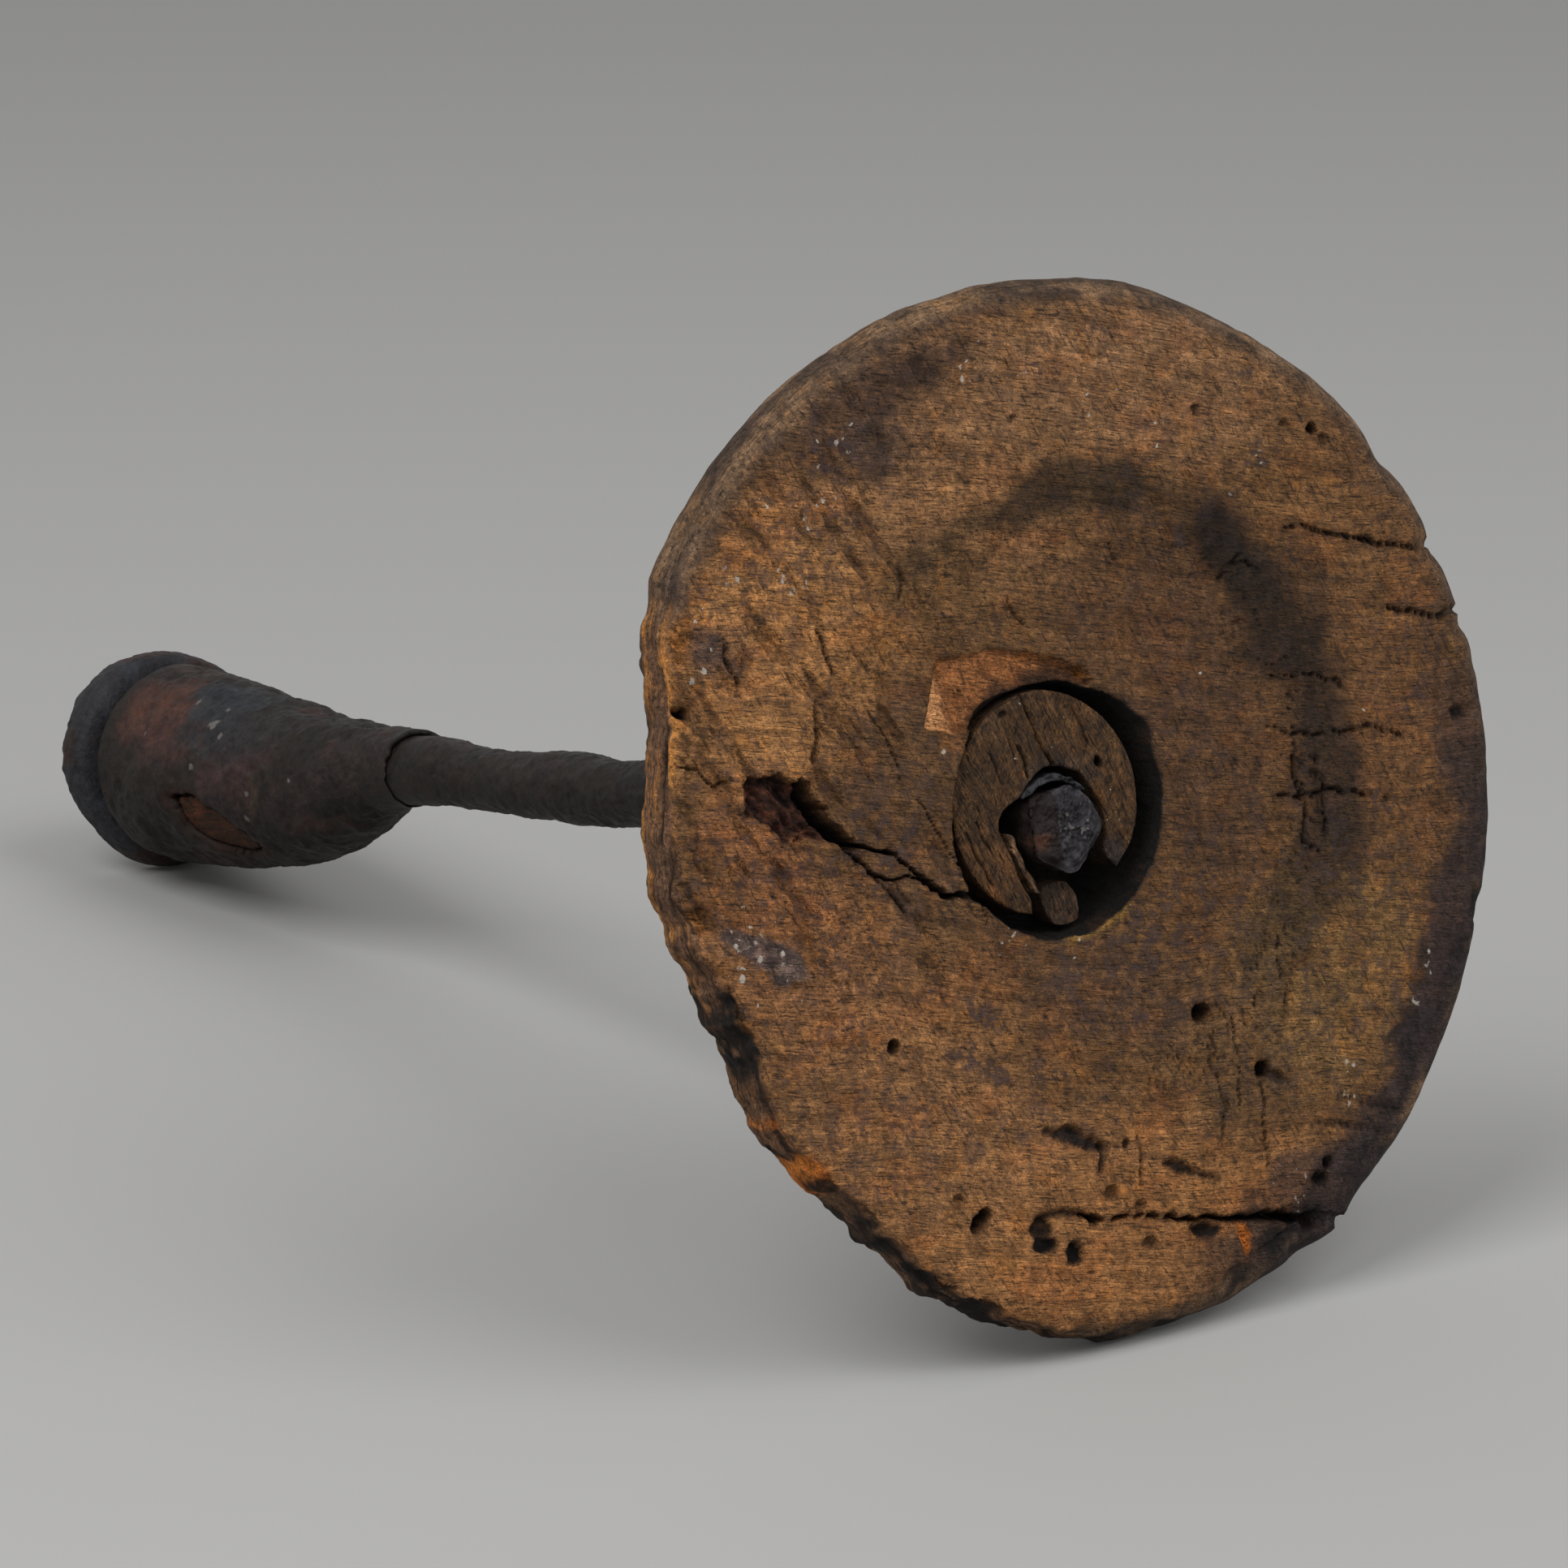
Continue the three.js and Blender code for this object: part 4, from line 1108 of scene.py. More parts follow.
def make_bush():
    count = 320
    angles, inner_y, inner_z = np.array(BUSH_STATIONS).T
    stations = even_steps(
        np.column_stack([7 * ways_at(np.radians(angles)), angles, inner_y, inner_z]), count)
    angle = np.radians(stations[:, 2])
    way, inner = ways_at(angle), stations[:, 3:5]
    bulge = 0.35 * np.exp(-((stations[:, 2] - 90) / 26) ** 2)
    outside = BUSH_RADIUS + bulge + 0.12 * noise(flat(*way.T * 10), 3, 82)
    outer = BUSH_MIDDLE + way * outside[:, None]
    inner = inner + 0.12 * noise(flat(*inner.T), 1.2, 83)[:, None]
    grid = slab(inner, outer, BUSH_FRONT, BUSH_RING + 0.3, 64, 14, 0.35, (1.1, 1.6))
    u, v = grid[..., 1] - BUSH_DRAWN_FROM[0], grid[..., 2] - BUSH_DRAWN_FROM[1]
    at = flat(u, v)
    on_front = smooth(0.5, 0.1, -grid[..., 0] - BUSH_FRONT)
    grain = slanted_grain(grid, BUSH_GRAIN_TURN)
    fibre = rough(grain, (5, 0.5, 3), 3, 84)
    sink = 0.1 * fibre + 0.2 * noise(at, 5, 85) + 0.05 * rough(at, 0.8, 2, 86)
    # dark holds the end grain's darker fibres, and below it the painted shade of the cracks and
    # pits, near-black on the front.
    dark = 0.3 * smooth(0.4, 0.9, fibre)
    warp_u, warp_v = u + 0.12 * noise(at, 1, 87), v + 0.12 * noise(at, 1, 88)
    for path, deep in BUSH_CRACKS:
        into = smooth(0.12, -0.1, beside(warp_u, warp_v, path)[0])
        sink += deep * into
        dark = np.maximum(dark, into)
    for *pit, deep, darkness in BUSH_PITS:
        q = place(warp_u, warp_v, pit)
        sink += deep * smooth(1.2, 0.7, q)
        dark = np.maximum(dark, darkness * smooth(1.4, 0.8, q))
    grid[..., 0] -= on_front * sink
    wear = clamp(0.5 + rough(grid, 1.2, 3, 89)) * 0.14 * (1 - on_front)
    grid = grid - outward(grid, False) * wear[..., None]
    warm = smooth(2, -7, v) * smooth(-6, -9, u) * clamp(0.5 + rough(grain, (4, 0.7, 3), 3, 91))
    grey = smooth(3.6, 1.2, np.hypot((u + 2) / 1.6, v - 3.6))
    grey += smooth(2.4, 1, np.hypot(u - 3.4, v + 4))
    paint = coated(
        varied(BUSH_WOOD, 0.4 * rough(grain, (7, 0.6, 4), 4, 90)),
        (linear(124, 78, 40), 0.6 * warm),
        (linear(52, 52, 55), 0.6 * clamp(grey)),
        # Painted shade: the bush's sides and back, down in the hole, are painted darker.
        (linear(44, 30, 20), 0.7 * (1 - on_front)),
        (linear(14, 10, 8), dark * on_front))
    dust_and_glints = np.zeros_like(u)
    draw = np.random.default_rng(5)
    for _ in range(34):
        cu, cv, size = draw.uniform(-14, 6), draw.uniform(-7, 12), draw.uniform(0.05, 0.12)
        speck = smooth(size * 1.6, size * 0.5, np.hypot(u - cu, v - cv))
        dust_and_glints = np.maximum(dust_and_glints, draw.uniform(0.5, 1) * speck)
    material = wood_material("old end wood", linear(56, 48, 44), 1.25, 0.9)
    build("worn_bush", grid, "shaft", "split_bush", material, paint, grain,
          {"patina": 0.25 * on_front * (1 - dark), "dust_and_glints": dust_and_glints * on_front})
    return material


def make_bush_ring(material):
    """The closed back of the bush, which fills the hole round the rod. It is painted near-black as
    painted shade, so that the gaps round the rod look black.
    """
    way = ways_at(full_turn(180))
    share, offset, depth_share, depth_offset = (row[:, None] for row in rounded_loop(24, 10))
    inner, outer = way * 4.4, BUSH_MIDDLE + way * 10.68
    span = outer - inner
    width = np.linalg.norm(span, axis=1)
    across = (share + offset * 0.1 / width)[..., None]
    depth = BUSH_RING + depth_share * (BUSH_BACK - BUSH_RING) + depth_offset * 0.1 + 0 * width
    grid = np.concatenate([-depth[..., None], inner + span * across], -1)
    grid[..., 0] += 0.12 * rough(grid, 2, 3, 97)
    # Painted shade: the ring is near-black.
    paint = varied(linear(30, 22, 16), 0.3 * rough(grid, 2, 3, 98))
    zero = np.zeros(grid.shape[:2])
    build("worn_bush_ring", grid, "shaft", "split_bush", material, paint,
          slanted_grain(grid, BUSH_GRAIN_TURN), {"patina": zero, "dust_and_glints": zero}, wrap_rows=True)


def make_wedge(material):
    count = 90
    left, right = (through(edge, count) for edge in WEDGE_EDGES)
    wedge = slab(left, right, WEDGE_FRONT, PACKING_BACK, 34, 12, 0.25, (0.3, 0.3))
    behind = -wedge[..., 0] - WEDGE_FRONT
    wedge[..., 2] += 0.15 * behind * smooth(-6.5, -8.5, wedge[..., 2])
    fibre = rough(slanted_grain(wedge, WEDGE_GRAIN_TURN), (4, 0.5, 3), 3, 92)
    sink = 0.2 + 0.12 * fibre + 0.16 * noise(wedge, 1.4, 93)
    wedge[..., 0] -= smooth(0.6, 0.1, behind) * sink
    zero = np.zeros(wedge.shape[:2])
    build("worn_wedge", wedge, "whorl", "bush_wedge", material,
          varied(linear(70, 52, 38), 0.3 * fibre), slanted_grain(wedge, WEDGE_GRAIN_TURN),
          {"patina": zero + 0.3, "dust_and_glints": zero})


def make_splinter(material):
    count = 90
    steps = np.linspace(0, 1, count)
    path = through(SPLINTER_PATH, count)
    path[:, 0] += 0.14 * np.sin(steps * 19)
    half = (0.18 + 0.12 * np.sin(steps * np.pi))[:, None] * np.array([0.85, 0.5])
    splinter = slab(path - half, path + half, SPLINTER_FRONT, PACKING_BACK, 12, 12, 0.12,
                    (0.5, 0.5))
    splinter[..., 0] -= 0.7 * steps[:, None] * smooth(9, 3, -splinter[..., 0])
    paint = varied(linear(120, 92, 68), 0.3 * rough(splinter, (2, 1, 1), 3, 94))
    zero = np.zeros(splinter.shape[:2])
    build("worn_splinter", splinter, "shaft", "bush_splinter", material, paint,
          slanted_grain(splinter, SPLINTER_GRAIN_TURN), {"patina": zero, "dust_and_glints": zero})


# ---------------------------------------------------------------- the rod and the foot

# The rod's middle line, which sags a little, as (depth, height).
ROD_HEIGHT = ((0, 0), (20, 0), (55, 0.4), (95, 0.6), (118, 1.5), (150, 1.2), (190, 1))
ROD_RADIUS, ROD_HEAD_RADIUS, ROD_LENGTH = 3.5, 3.85, 187.5

# Swellings of the rod: depth, the side it is on in degrees (None all round), height, length.
ROD_LUMPS = (
    (84, None, 0.15, 6), (86, -95, 0.15, 5), (98, -80, 0.1, 6), (60, None, -0.45, 10),
    (72, -90, -0.35, 8), (106, None, -0.2, 5), (90, -90, -0.2, 12), (113, -90, 0.1, 3),
    (40, 60, 0.4, 6), (52, -60, 0.35, 6), (30, 150, 0.35, 5), (62, 20, 0.3, 5),
    (118, 80, 0.25, 4), (92, 90, 0.15, 5),
)

# The foot's middle line and outside, as (depth, height or radius). Its shell ends in a shoulder
# that slopes in to the groove before the lip.
FOOT_HEIGHT = ((120, 1.5), (129, 1.2), (135, 0.2), (141, -0.6), (149, -0.9), (158, -0.65),
               (166, -0.1), (174, 0.4), (182, 1), (190, 1))
FOOT_RADIUS = ((120, 4.95), (129, 5.1), (135, 6.2), (141, 7.4), (149, 8.8), (158, 9.85),
               (166, 10.7), (174, 11.3), (179, 11.45))
FOOT_START, FOOT_SHOULDER, FOOT_END = 122, 179.5, 181.95
SHOULDER_OUTSIDE = ((FOOT_SHOULDER, 11.45), (FOOT_SHOULDER + 0.7, 10.5), (FOOT_END, 9.95))
SHOULDER_INSIDE = ((FOOT_SHOULDER - 0.5, 9.7), (FOOT_SHOULDER + 0.8, 8.8), (FOOT_END, 8.45))
FOOT_WALL, FOOT_MOUTH_WALL = 1.7, 0.7

# The flaked-off window: depth, angle in degrees, half length, half width and slant.
WINDOW = (157.4, -151, 6.8, 3.5, 28)
WINDOW_RADIUS = 9.7

# The lip's section, as (depth, radius): out round the end, and back down its bore. Its height
# is that of the foot's end.
LIP_OUTSIDE = ((182.5, 5.3), (182.35, 8), (182.4, 11), (182.9, 12.2), (184.2, 12.75), (186, 12.8),
               (187, 12.4), (187.25, 11), (187.25, 8), (187.2, 5.3))
LIP_BORE = ((186.4, 5.2), (183.4, 5.2))
LIP_HEIGHT = 1.0
LIP_WORN = ((212, 26, 1.1),)

# The core's ends, its widest radius, and the radius of its bore and of its end in the lip.
CORE_START, CORE_END = 144.2, 181.9
CORE_RADIUS, CORE_BORE, CORE_END_RADIUS = 9.2, 4.0, 7.9

# Stains on the foot: depth, angle, half lengths along and around, colour as seen, strength.
FOOT_STAINS = (
    (171, 130, 9, 5.5, (62, 37, 28), 0.85), (166, 147, 7, 4, (54, 34, 30), 0.75),
    (152, 166, 7, 5, (50, 34, 33), 0.7), (147, 178, 2.4, 1.6, (62, 48, 30), 0.6),
    (160, 106, 7, 5, (28, 32, 38), 0.7), (154, 134, 8, 4, (34, 35, 39), 0.5),
    (158, 150, 2.5, 2, (44, 44, 44), 0.6), (163, 120, 2, 2, (44, 45, 46), 0.5),
    (130, 172, 9, 3, (37, 30, 28), 0.5), (172, -170, 6, 6, (31, 27, 23), 0.6),
    (163, -128, 6, 3, (38, 21, 15), 0.6), (140, -175, 6, 3, (40, 30, 29), 0.5),
)

# Small scabs on the foot: depth, angle, size.
FOOT_SPECKS = (
    (157.5, 132, 1.1), (159, 164, 0.9), (149, -162, 0.7), (148, 178, 0.6), (157.5, 118, 0.7),
    (170, 150, 0.7), (155, 140, 0.8), (164, 120, 0.6), (162, 96, 0.6), (140, 170, 0.5),
)
DARK_IRON = linear(25, 20, 17)
GREY_IRON = linear(31, 31, 34)


def curve(pairs, x):
    """A smooth curve through (x, value) pairs."""
    fine = through(pairs, 24 * len(pairs))
    return np.interp(x, fine[:, 0], fine[:, 1])


def around(depth, angle, radius, height):
    """Points at a depth and an angle about the foot's or the rod's own middle line."""
    return np.stack([-depth, radius * np.cos(angle), height + radius * np.sin(angle)], -1)


def ripples(points, size, seed):
    """Corroded, scaly lumps: rounded tops with creases between them, from -1 to 1."""
    return 1 - 2 * np.abs(rough(points, size, 3, seed))


def make_rod():
    columns, body_rows, dome_rows = ((120, 620, 34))
    angle = full_turn(columns)[None]
    body = np.concatenate([
        np.linspace(1.1, 18, 60), np.linspace(18.3, ROD_LENGTH - 0.6, body_rows)])[:, None]
    radius = ROD_RADIUS + (ROD_HEAD_RADIUS - ROD_RADIUS) * (1 - smooth(14, 30, body)) + 0 * angle
    radius += 0.38 * smooth(112, 121, body) * (1 - smooth(127, 136, body))
    # Free of the bush and of the foot the rod is lumpy.
    free = smooth(18, 34, body) * (1 - smooth(110, 124, body))
    for depth, side, height, length in ROD_LUMPS:
        share = np.exp(-((body - depth) / length) ** 2)
        if side is not None:
            share = share * clamp(np.cos(angle - math.radians(side)))
        radius += free * height * share
    corners = 0.2 * np.cos(5 * angle + 0.6) + 0.12 * np.cos(3 * angle - 1)
    radius += corners * smooth(7, 3, body)
    grid = around(body + 0 * angle, angle, radius, curve(ROD_HEIGHT, body))
    near_end = 0.14 * rough(grid, 1.1, 3, 100) * smooth(8, 4, body)
    grid += outward(grid, False) * near_end[..., None]
    relief = 0.32 * rough(grid, (9, 4, 4), 3, 101) + 0.12 * ripples(grid, 2.4, 102)
    relief += 0.06 * rough(grid, 0.9, 3, 103)
    held = (0.25 + 0.75 * free) * (1 - 0.6 * smooth(124, 136, body))
    grid += outward(grid, False) * (held * relief - 0.06)[..., None]

    # The near end: a rough dome with flat facets left, above and below.
    share = np.linspace(0.02, 1, dome_rows)[:, None]
    edge = grid[0]
    y, z = edge[:, 1] * share, edge[:, 2] * share
    ridge = -1.35 + 0.1 * z + 0.15 * noise(np.stack([0 * y, z, z], -1), 2, 104)
    facets = 0.42 * np.maximum(ridge - y, 0) + 0.03 * np.maximum(y - ridge, 0)
    facets += 0.3 * np.maximum(z - 1.9 + 0.3 * y, 0) + 0.25 * np.maximum(-z - 2.6, 0)
    dome = 0.5 + facets + 0.4 * rough(np.stack([0 * y, y, z], -1), 1.2, 5, 105, keep=0.72)
    blend = smooth(0.82, 1, share)
    depth = dome * (1 - blend) + np.maximum(-edge[:, 0], dome) * blend
    grid = np.vstack([np.stack([-np.maximum(depth, 0.34), y, z], -1), grid])
    body = -grid[..., 0]
    grid[..., 1] += 0.35 * smooth(12, 3, body)

    y, z = grid[..., 1], grid[..., 2]
    head = smooth(3.4, 2, body)
    left = smooth(-0.5, -0.9, y)
    rusty = smooth(1.2, 0.4, np.hypot(y + 2.4, z + 0.9))
    paint = coated(
        varied(DARK_IRON, 0.3 * rough(grid, (6, 3, 3), 4, 106)),
        (linear(43, 31, 28), 0.55 * smooth(0.2, 0.8, rough(grid, (9, 4, 4), 3, 107))),
        (varied(linear(40, 38, 41), 1.1 * rough(grid, 0.5, 4, 108, keep=0.75)), head * (1 - left)),
        (linear(25, 18, 16), head * left),
        (linear(58, 35, 24), head * left * rusty))
    # Painted glints: pale specks on the head's right facet; the strong fine speckle of its grey
    # paint above is partly painted glints too.
    dust_and_glints = head * (1 - left) * smooth(0.2, 0.7, rough(grid, 0.42, 2, 109))
    dust_and_glints *= smooth(3.4, 1.4, np.hypot(y - 1, z - 0.4))
    dust_and_glints = np.maximum(dust_and_glints, 0.4 * free_specks(grid, 0.5))
    material = iron_material("waxed iron", (0.42, 0.68), 0.5)
    build("worn_rod", grid, "shaft", "shaft_rod", material, paint, grid,
          {"dust_and_glints": dust_and_glints})
    return material


def free_specks(grid, size):
    """Scattered specks, thick in some places and missing in others."""
    return smooth(0.62, 0.8, noise(grid, size * 2, 110)) * smooth(0, 0.6, noise(grid, 14, 111))


def make_ferrule():
    count = 110
    angle = np.linspace(0.72, 2.38, count)
    way = ways_at(angle)
    inner = 4.38 + 0.1 * rough(flat(*way.T * 4), 1.5, 3, 112)[:, None]
    outer = 5 + 0.22 * rough(flat(*way.T * 4, 9), 1.3, 3, 112)[:, None]
    grid = slab(way * inner, way * outer, 1.4, PACKING_BACK, 16, 14, 0.2, (1.2, 1.2))
    grid[..., 0] -= smooth(3, 1.4, -grid[..., 0]) * (0.4 + 0.5 * rough(grid, 1.2, 4, 113))
    paint = varied(GREY_IRON, 0.35 * rough(grid, 1.1, 3, 114))
    zero = np.zeros(grid.shape[:2])
    build("worn_ferrule", grid, "shaft", "ferrule_strip",
          iron_material("grey iron", (0.4, 0.62), 0.25), paint, grid, {"dust_and_glints": zero + 0.2})


def window_distance(depth, angle):
    """How far each point is from the window's middle: 1 on its edge."""
    at_depth, at_angle, half_length, half_width, slant = WINDOW
    away = angle_from(angle, at_angle) * WINDOW_RADIUS
    c, s = math.cos(math.radians(slant)), math.sin(math.radians(slant))
    forward = at_depth - depth
    ragged = 1 + 0.08 * rough(flat(forward, away), 2, 3, 136)
    along, across = forward * c + away * s, away * c - forward * s
    return ragged * np.hypot(along / half_length, across / half_width)


def foot_paint(grid, depth, angle):
    radius = np.maximum(np.interp(depth, *np.array(FOOT_RADIUS).T), 5)
    wobble = 2.5 * rough(grid, 6, 3, 122)
    paint = varied(DARK_IRON, 0.35 * rough(grid, 5, 4, 121))
    for at, turn, along, across, tone, strength in FOOT_STAINS:
        away = angle_from(angle, turn) * radius
        q = np.hypot((depth - at + wobble) / along, (away + wobble) / across)
        paint = mixed(paint, linear(*tone), strength * smooth(1.3, 0.4, q))
    browned = 0.6 * smooth(0.3, 0.8, rough(grid, (7, 4, 4), 4, 123))
    ragged = 0.4 * rough(grid, 0.6, 2, 124)
    dust_and_glints = 0.5 * free_specks(grid, 0.6)
    for at, turn, size in FOOT_SPECKS:
        q = np.hypot(depth - at, angle_from(angle, turn) * radius) / size + ragged
        dust_and_glints = np.maximum(dust_and_glints, smooth(1.2, 0.3, q))
    return mixed(paint, linear(43, 28, 24), browned), dust_and_glints


def make_shell(material):
    """The foot's shell, from an outside and an inside grid."""
    columns, rows = ((240, 230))
    angle = full_turn(columns)[None] + np.zeros((rows, 1))
    depth = np.linspace(FOOT_START, FOOT_END, rows)[:, None] + 0 * angle
    q = window_distance(depth, angle)
    height = curve(FOOT_HEIGHT, depth)
    outside_radius = np.where(depth < FOOT_SHOULDER, curve(FOOT_RADIUS, depth),
                              np.interp(depth, *np.array(SHOULDER_OUTSIDE).T))
    wall = FOOT_MOUTH_WALL + (FOOT_WALL - FOOT_MOUTH_WALL) * smooth(FOOT_START + 6, 141, depth)
    inside_radius = np.where(depth < SHOULDER_INSIDE[0][0], outside_radius - wall,
                             np.interp(depth, *np.array(SHOULDER_INSIDE).T))
    # At its mouth the shell closes in on the rod, less along the top.
    pinch = smooth(FOOT_START + 9, FOOT_START, depth)
    top = smooth(0.1, 0.9, np.sin(angle))
    outside_radius = outside_radius - (0.92 - 0.5 * top) * pinch
    hugging = smooth(FOOT_START + 12, FOOT_START + 2, depth)
    inside_radius = inside_radius + (3.96 - inside_radius) * hugging
    to_rod = curve(ROD_HEIGHT, depth) - height
    outside = around(depth, angle, outside_radius, height + to_rod * pinch)
    inside = around(depth, angle, inside_radius, height + to_rod * hugging)
    lumps = 0.34 * rough(outside, 8, 3, 131) + 0.2 * ripples(outside, 3, 132)
    lumps += 0.08 * rough(outside, 0.9, 3, 133)
    mouth = smooth(FOOT_START + 8, FOOT_START, depth)
    step = 0.3 * mouth * top * clamp(0.4 + rough(outside, 4, 2, 134))
    flaked = -0.25 * smooth(1.3, 1.0, q)
    groove = smooth(FOOT_SHOULDER - 3, FOOT_SHOULDER, depth)
    lift = lumps * (1 - 0.6 * groove) * (1 - 0.85 * mouth) + step + flaked - 0.12 * (1 - mouth)
    outside = outside + normals_of_tube(outside) * lift[..., None]
    # The mouth's edge is ragged, and reaches further along the top than below.
    ring = 5 * ways_at(angle[0])
    ragged = 1.2 * rough(np.column_stack([0 * angle[0], ring]), 3, 3, 135)
    shift = 1.2 + ragged + 2.4 * smooth(0.3, -1, np.sin(angle[0]))
    for skin in (outside, inside):
        skin[..., 0] -= 0.6 * shift * smooth(FOOT_START + 14, FOOT_START, depth)
    join_shell(outside, inside, q, depth, angle, material)


def normals_of_tube(grid):
    """The normals of an open tube of points, turned away from its middle line."""
    n = normals_of(grid, False)
    middle = grid.mean(1, keepdims=True)
    return np.where(np.sum(n * (grid - middle), -1, keepdims=True) > 0, n, -n)


def join_shell(outside, inside, q, depth, angle, material):
    """One closed mesh of both grids, with walls at the ends and round the window."""
    rows, columns = q.shape
    count = rows * columns
    quads = grid_faces(rows, columns, False)
    in_window = (q < 1).ravel()[quads].sum(1) >= 2
    kept = quads[~in_window]
    ring = np.arange(columns)
    nxt = (ring + 1) % columns
    last = (rows - 1) * columns
    front_end = np.stack([nxt, ring, ring + count, nxt + count], -1)
    back_end = np.stack([last + ring, last + nxt, last + nxt + count, last + ring + count], -1)
    edges = dict.fromkeys(
        (a, b) for face in quads[in_window] for a, b in zip(face, np.roll(face, -1), strict=True))
    rim = np.array([(a, b) for a, b in edges if (b, a) not in edges])
    walls = np.hstack([rim, rim[:, ::-1] + count])
    # The points on the window's rim are drawn onto its true outline.
    both = np.concatenate([outside, inside])
    points = both.reshape(-1, 3).copy()
    on_rim = np.unique(rim)
    pull = 1 / q.ravel()[on_rim] - 1
    rim_depth, rim_angle = depth.ravel()[on_rim], angle.ravel()[on_rim]
    turn = angle_from(rim_angle, WINDOW[1]) * pull
    centre = curve(FOOT_HEIGHT, rim_depth)
    for offset in (0, count):
        x, y, z = points[on_rim + offset].T
        rise = z - centre
        points[on_rim + offset] = np.stack([
            x - (rim_depth - WINDOW[0]) * pull,
            y * np.cos(turn) - rise * np.sin(turn),
            y * np.sin(turn) + rise * np.cos(turn) + centre,
        ], -1)
    faces = np.vstack([kept, kept[:, ::-1] + count, front_end, back_end, walls])
    used = np.zeros(len(points), bool)
    used[faces] = True
    faces = (np.cumsum(used) - 1)[faces]
    points = points[used]
    no_triangles = np.zeros((0, 3), int)
    if signed_volume(points, faces, no_triangles) < 0:
        faces = faces[:, ::-1]
    depth, angle, q = (np.concatenate([values, values]) for values in (depth, angle, q))
    paint, dust_and_glints = foot_paint(both, depth, angle)
    # Painted shade: the inside skin is painted near-black beyond the mouth, so the window's walls
    # darken into it.
    inside_shade = smooth(FOOT_START + 2, FOOT_START + 5, depth)
    inside_shade[:rows] = 0
    torn = smooth(1.3, 1.02, q)
    paint = coated(paint, (linear(20, 16, 14), inside_shade), (linear(36, 22, 15), 0.7 * torn))
    mesh_piece("worn_shell", points, faces, no_triangles, "shaft", "foot_shell",
               material,
               {"paint": paint.reshape(-1, 3)[used], "grain": both.reshape(-1, 3)[used]},
               {"dust_and_glints": (dust_and_glints * (1 - torn)).ravel()[used]})


def make_lip(material):
    columns = 260
    loop = np.vstack([through(LIP_OUTSIDE, 74), through(LIP_BORE, 8)])
    angle = full_turn(columns)[None] + np.zeros((len(loop), 1))
    depth, radius = loop[:, :1] + 0 * angle, loop[:, 1:] + 0 * angle
    worn = dented(angle, LIP_WORN) * smooth(8, 12, radius)
    grid = around(depth, angle, radius - worn, LIP_HEIGHT)
    lumps = 0.22 * rough(grid, 5, 3, 141) + 0.14 * ripples(grid, 2.6, 142)
    lumps += 0.05 * rough(grid, 0.8, 3, 143) - 0.14
    lowest = smooth(math.radians(40), math.radians(12), np.abs(angle_from(angle, -90)))
    clear_of_shell = smooth(182.4, 183.4, depth)
    lumps *= smooth(5.4, 8, radius) * (1 - 0.8 * lowest) * (0.2 + 0.8 * clear_of_shell)
    grid = grid + outward(grid, True) * lumps[..., None]
    paint = coated(
        varied(GREY_IRON, 0.15 + 0.5 * rough(grid, 3, 4, 144)),
        (linear(42, 28, 24), 0.85 * smooth(0, 0.6, rough(grid, 5, 3, 145))),
        (linear(38, 41, 46), 0.6 * smooth(0.3, 0.8, rough(grid, 4, 3, 146))))
    build("worn_lip", grid, "shaft", "foot_lip", material, paint, grid,
          {"dust_and_glints": 0.6 * free_specks(grid, 0.6)}, wrap_rows=True)


def make_core():
    depths = np.linspace(CORE_START, CORE_END, 130)
    outer = np.minimum(curve(FOOT_RADIUS, depths) - 2.1, CORE_RADIUS)
    outer = np.where(depths > 178.6, CORE_END_RADIUS, outer)
    back = np.linspace(CORE_END, CORE_START, 40)
    loop = np.vstack([
        np.column_stack([depths, outer, curve(FOOT_HEIGHT, depths)]),
        np.column_stack([back, np.full(40, CORE_BORE), curve(ROD_HEIGHT, back)]),
    ])
    angle = full_turn(150)[None] + np.zeros((len(loop), 1))
    depth, radius, height = (loop[:, k:k + 1] + 0 * angle for k in range(3))
    grid = around(depth, angle, radius, height)
    q = window_distance(depth, angle)
    wear = 0.16 * rough(grid, (6, 1, 1), 4, 151) - 0.1 + 1.5 * smooth(1.0, 0.88, q) * (radius > 6)
    grid = grid + outward(grid, True) * (smooth(5, 6, radius) * wear)[..., None]
    # Painted shade: the core darkens towards the window's edge and under the shell.
    paint = coated(
        linear(56, 31, 17),
        (linear(88, 49, 22), clamp(0.5 + 0.6 * rough(grid, (5, 1.4, 1.4), 4, 152))),
        (linear(40, 23, 15), 0.85 * smooth(0.65, 1.05, q)))
    zero = np.zeros(grid.shape[:2])
    build("worn_core", grid, "shaft", "foot_core",
          wood_material("raw wood", linear(90, 60, 40)), paint, grid * (1, 1.4, 1.4),
          {"patina": zero, "dust_and_glints": zero}, wrap_rows=True)


# ---------------------------------------------------------------- camera, floor and light

# The camera looks at the whorl's middle from this azimuth and elevation in degrees, at this
# distance, moved sideways and up in its own plane, in millimetres.
CAMERA_AZIMUTH, CAMERA_ELEVATION = 56.77, 15.91
CAMERA_DISTANCE, CAMERA_SIDE, CAMERA_RISE = 548.8, -27.5, 3
LENS, SENSOR = 136.7, 36

# The lights' azimuth from the camera's, elevation, distance and size in metres, and watts.
LIGHTS = {
    "upper left": (-38, 50, 1.1, 0.6, 9.2),
    "upper right": (56, 50, 1.2, 0.7, 6.6),
    "front": (5, 30, 1.5, 0.8, 2),
}
LIT_POINT = Vector((0.03, 0, 0.04))
ROOM_LIGHT = 0.56
FLOOR_SIZE, FLOOR_COLOUR = 6.0, (0.3, 0.298, 0.291)


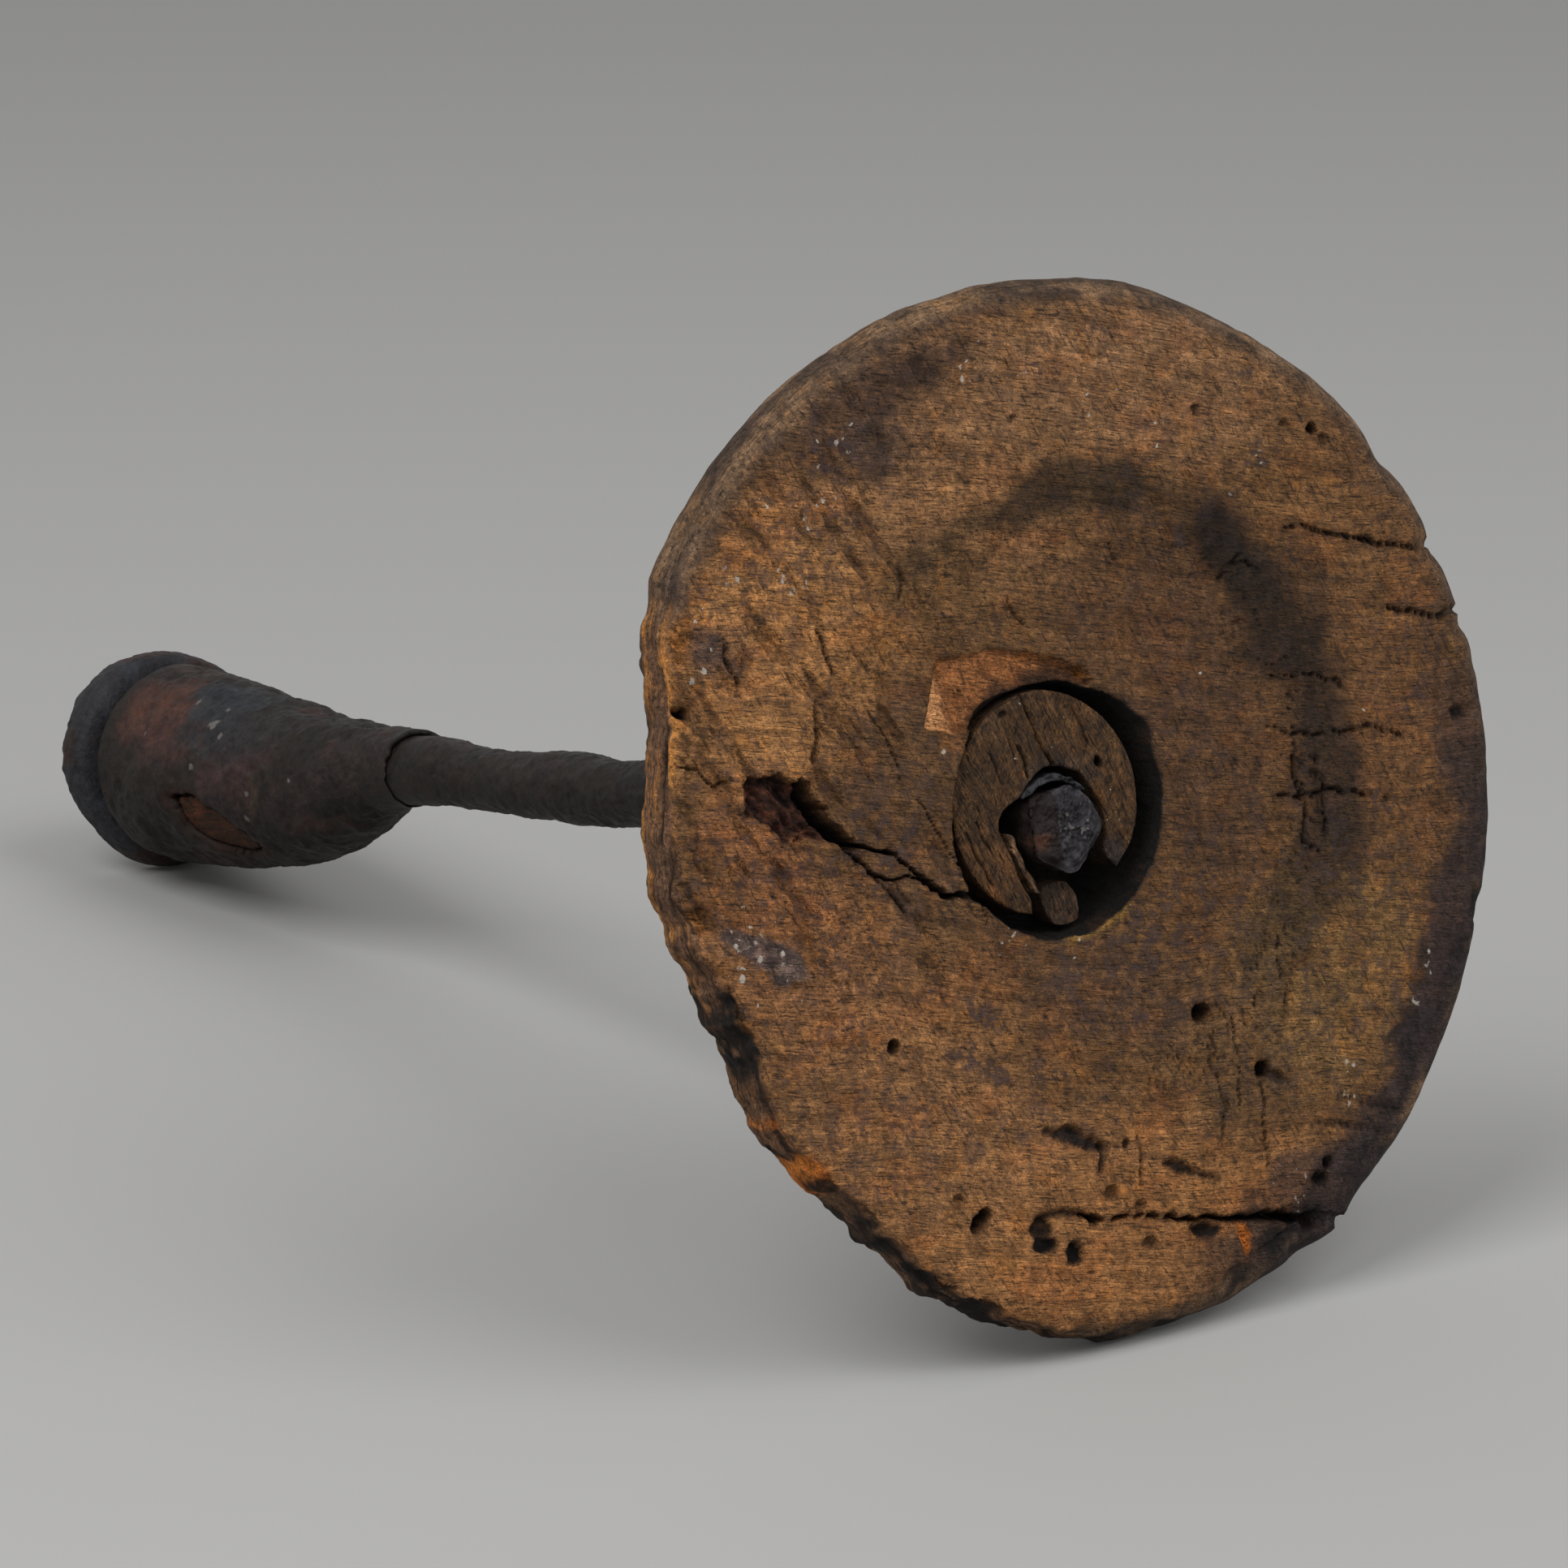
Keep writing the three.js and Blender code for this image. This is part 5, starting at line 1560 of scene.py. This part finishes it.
def aim_from(thing, point, azimuth, elevation, offset):
    """Place a camera or light that faces a point, at an offset from it to its own right, up
    and back."""
    a, e = math.radians(azimuth), math.radians(elevation)
    back = Vector((math.sin(a) * math.cos(e), -math.cos(a) * math.cos(e), math.sin(e)))
    right = Vector((math.cos(a), math.sin(a), 0))
    turn = Matrix((right, back.cross(right), back)).transposed()
    thing.matrix_world = Matrix.Translation(point + turn @ offset) @ turn.to_4x4()
    bpy.context.scene.collection.objects.link(thing)


def make_camera():
    lens = bpy.data.cameras.new("camera")
    lens.lens, lens.sensor_width, lens.clip_end = LENS, SENSOR, 100
    camera = bpy.data.objects.new("camera", lens)
    aim_from(camera, Vector(to_frame([0, *WHORL_MIDDLE])), CAMERA_AZIMUTH, CAMERA_ELEVATION,
             Vector((CAMERA_SIDE, CAMERA_RISE, CAMERA_DISTANCE)) * MM)
    bpy.context.scene.camera = camera


def make_floor():
    mesh = bpy.data.meshes.new("floor")
    half = FLOOR_SIZE / 2
    corners = [(-half, -half, 0), (half, -half, 0), (half, half, 0), (-half, half, 0)]
    mesh.from_pydata(corners, [], [(0, 1, 2, 3)])
    material, _, shader = principled("pale floor")
    shader.inputs["Base Color"].default_value = (*FLOOR_COLOUR, 1)
    shader.inputs["Roughness"].default_value = 0.9
    shader.inputs["Specular IOR Level"].default_value = 0.1
    mesh.materials.append(material)
    floor = bpy.data.objects.new("floor", mesh)
    bpy.context.scene.collection.objects.link(floor)


def make_light():
    world = bpy.data.worlds.new("room")
    bpy.context.scene.world = world
    world.use_nodes = True
    background = next(n for n in world.node_tree.nodes if n.type == "BACKGROUND")
    background.inputs["Color"].default_value = (1, 1, 1, 1)
    background.inputs["Strength"].default_value = ROOM_LIGHT
    for name, (azimuth, elevation, distance, size, power) in LIGHTS.items():
        data = bpy.data.lights.new(name, "AREA")
        data.shape, data.size, data.energy = "SQUARE", size, power
        aim_from(bpy.data.objects.new(name, data), LIT_POINT, CAMERA_AZIMUTH + azimuth, elevation,
                 Vector((0, 0, distance)))
    bpy.context.scene.view_settings.view_transform = "Standard"


make_camera()
make_floor()
make_light()
make_whorl()
end_wood = make_bush()
make_bush_ring(end_wood)
make_wedge(end_wood)
make_splinter(end_wood)
iron = make_rod()
make_ferrule()
make_shell(iron)
make_lip(iron)
make_core()
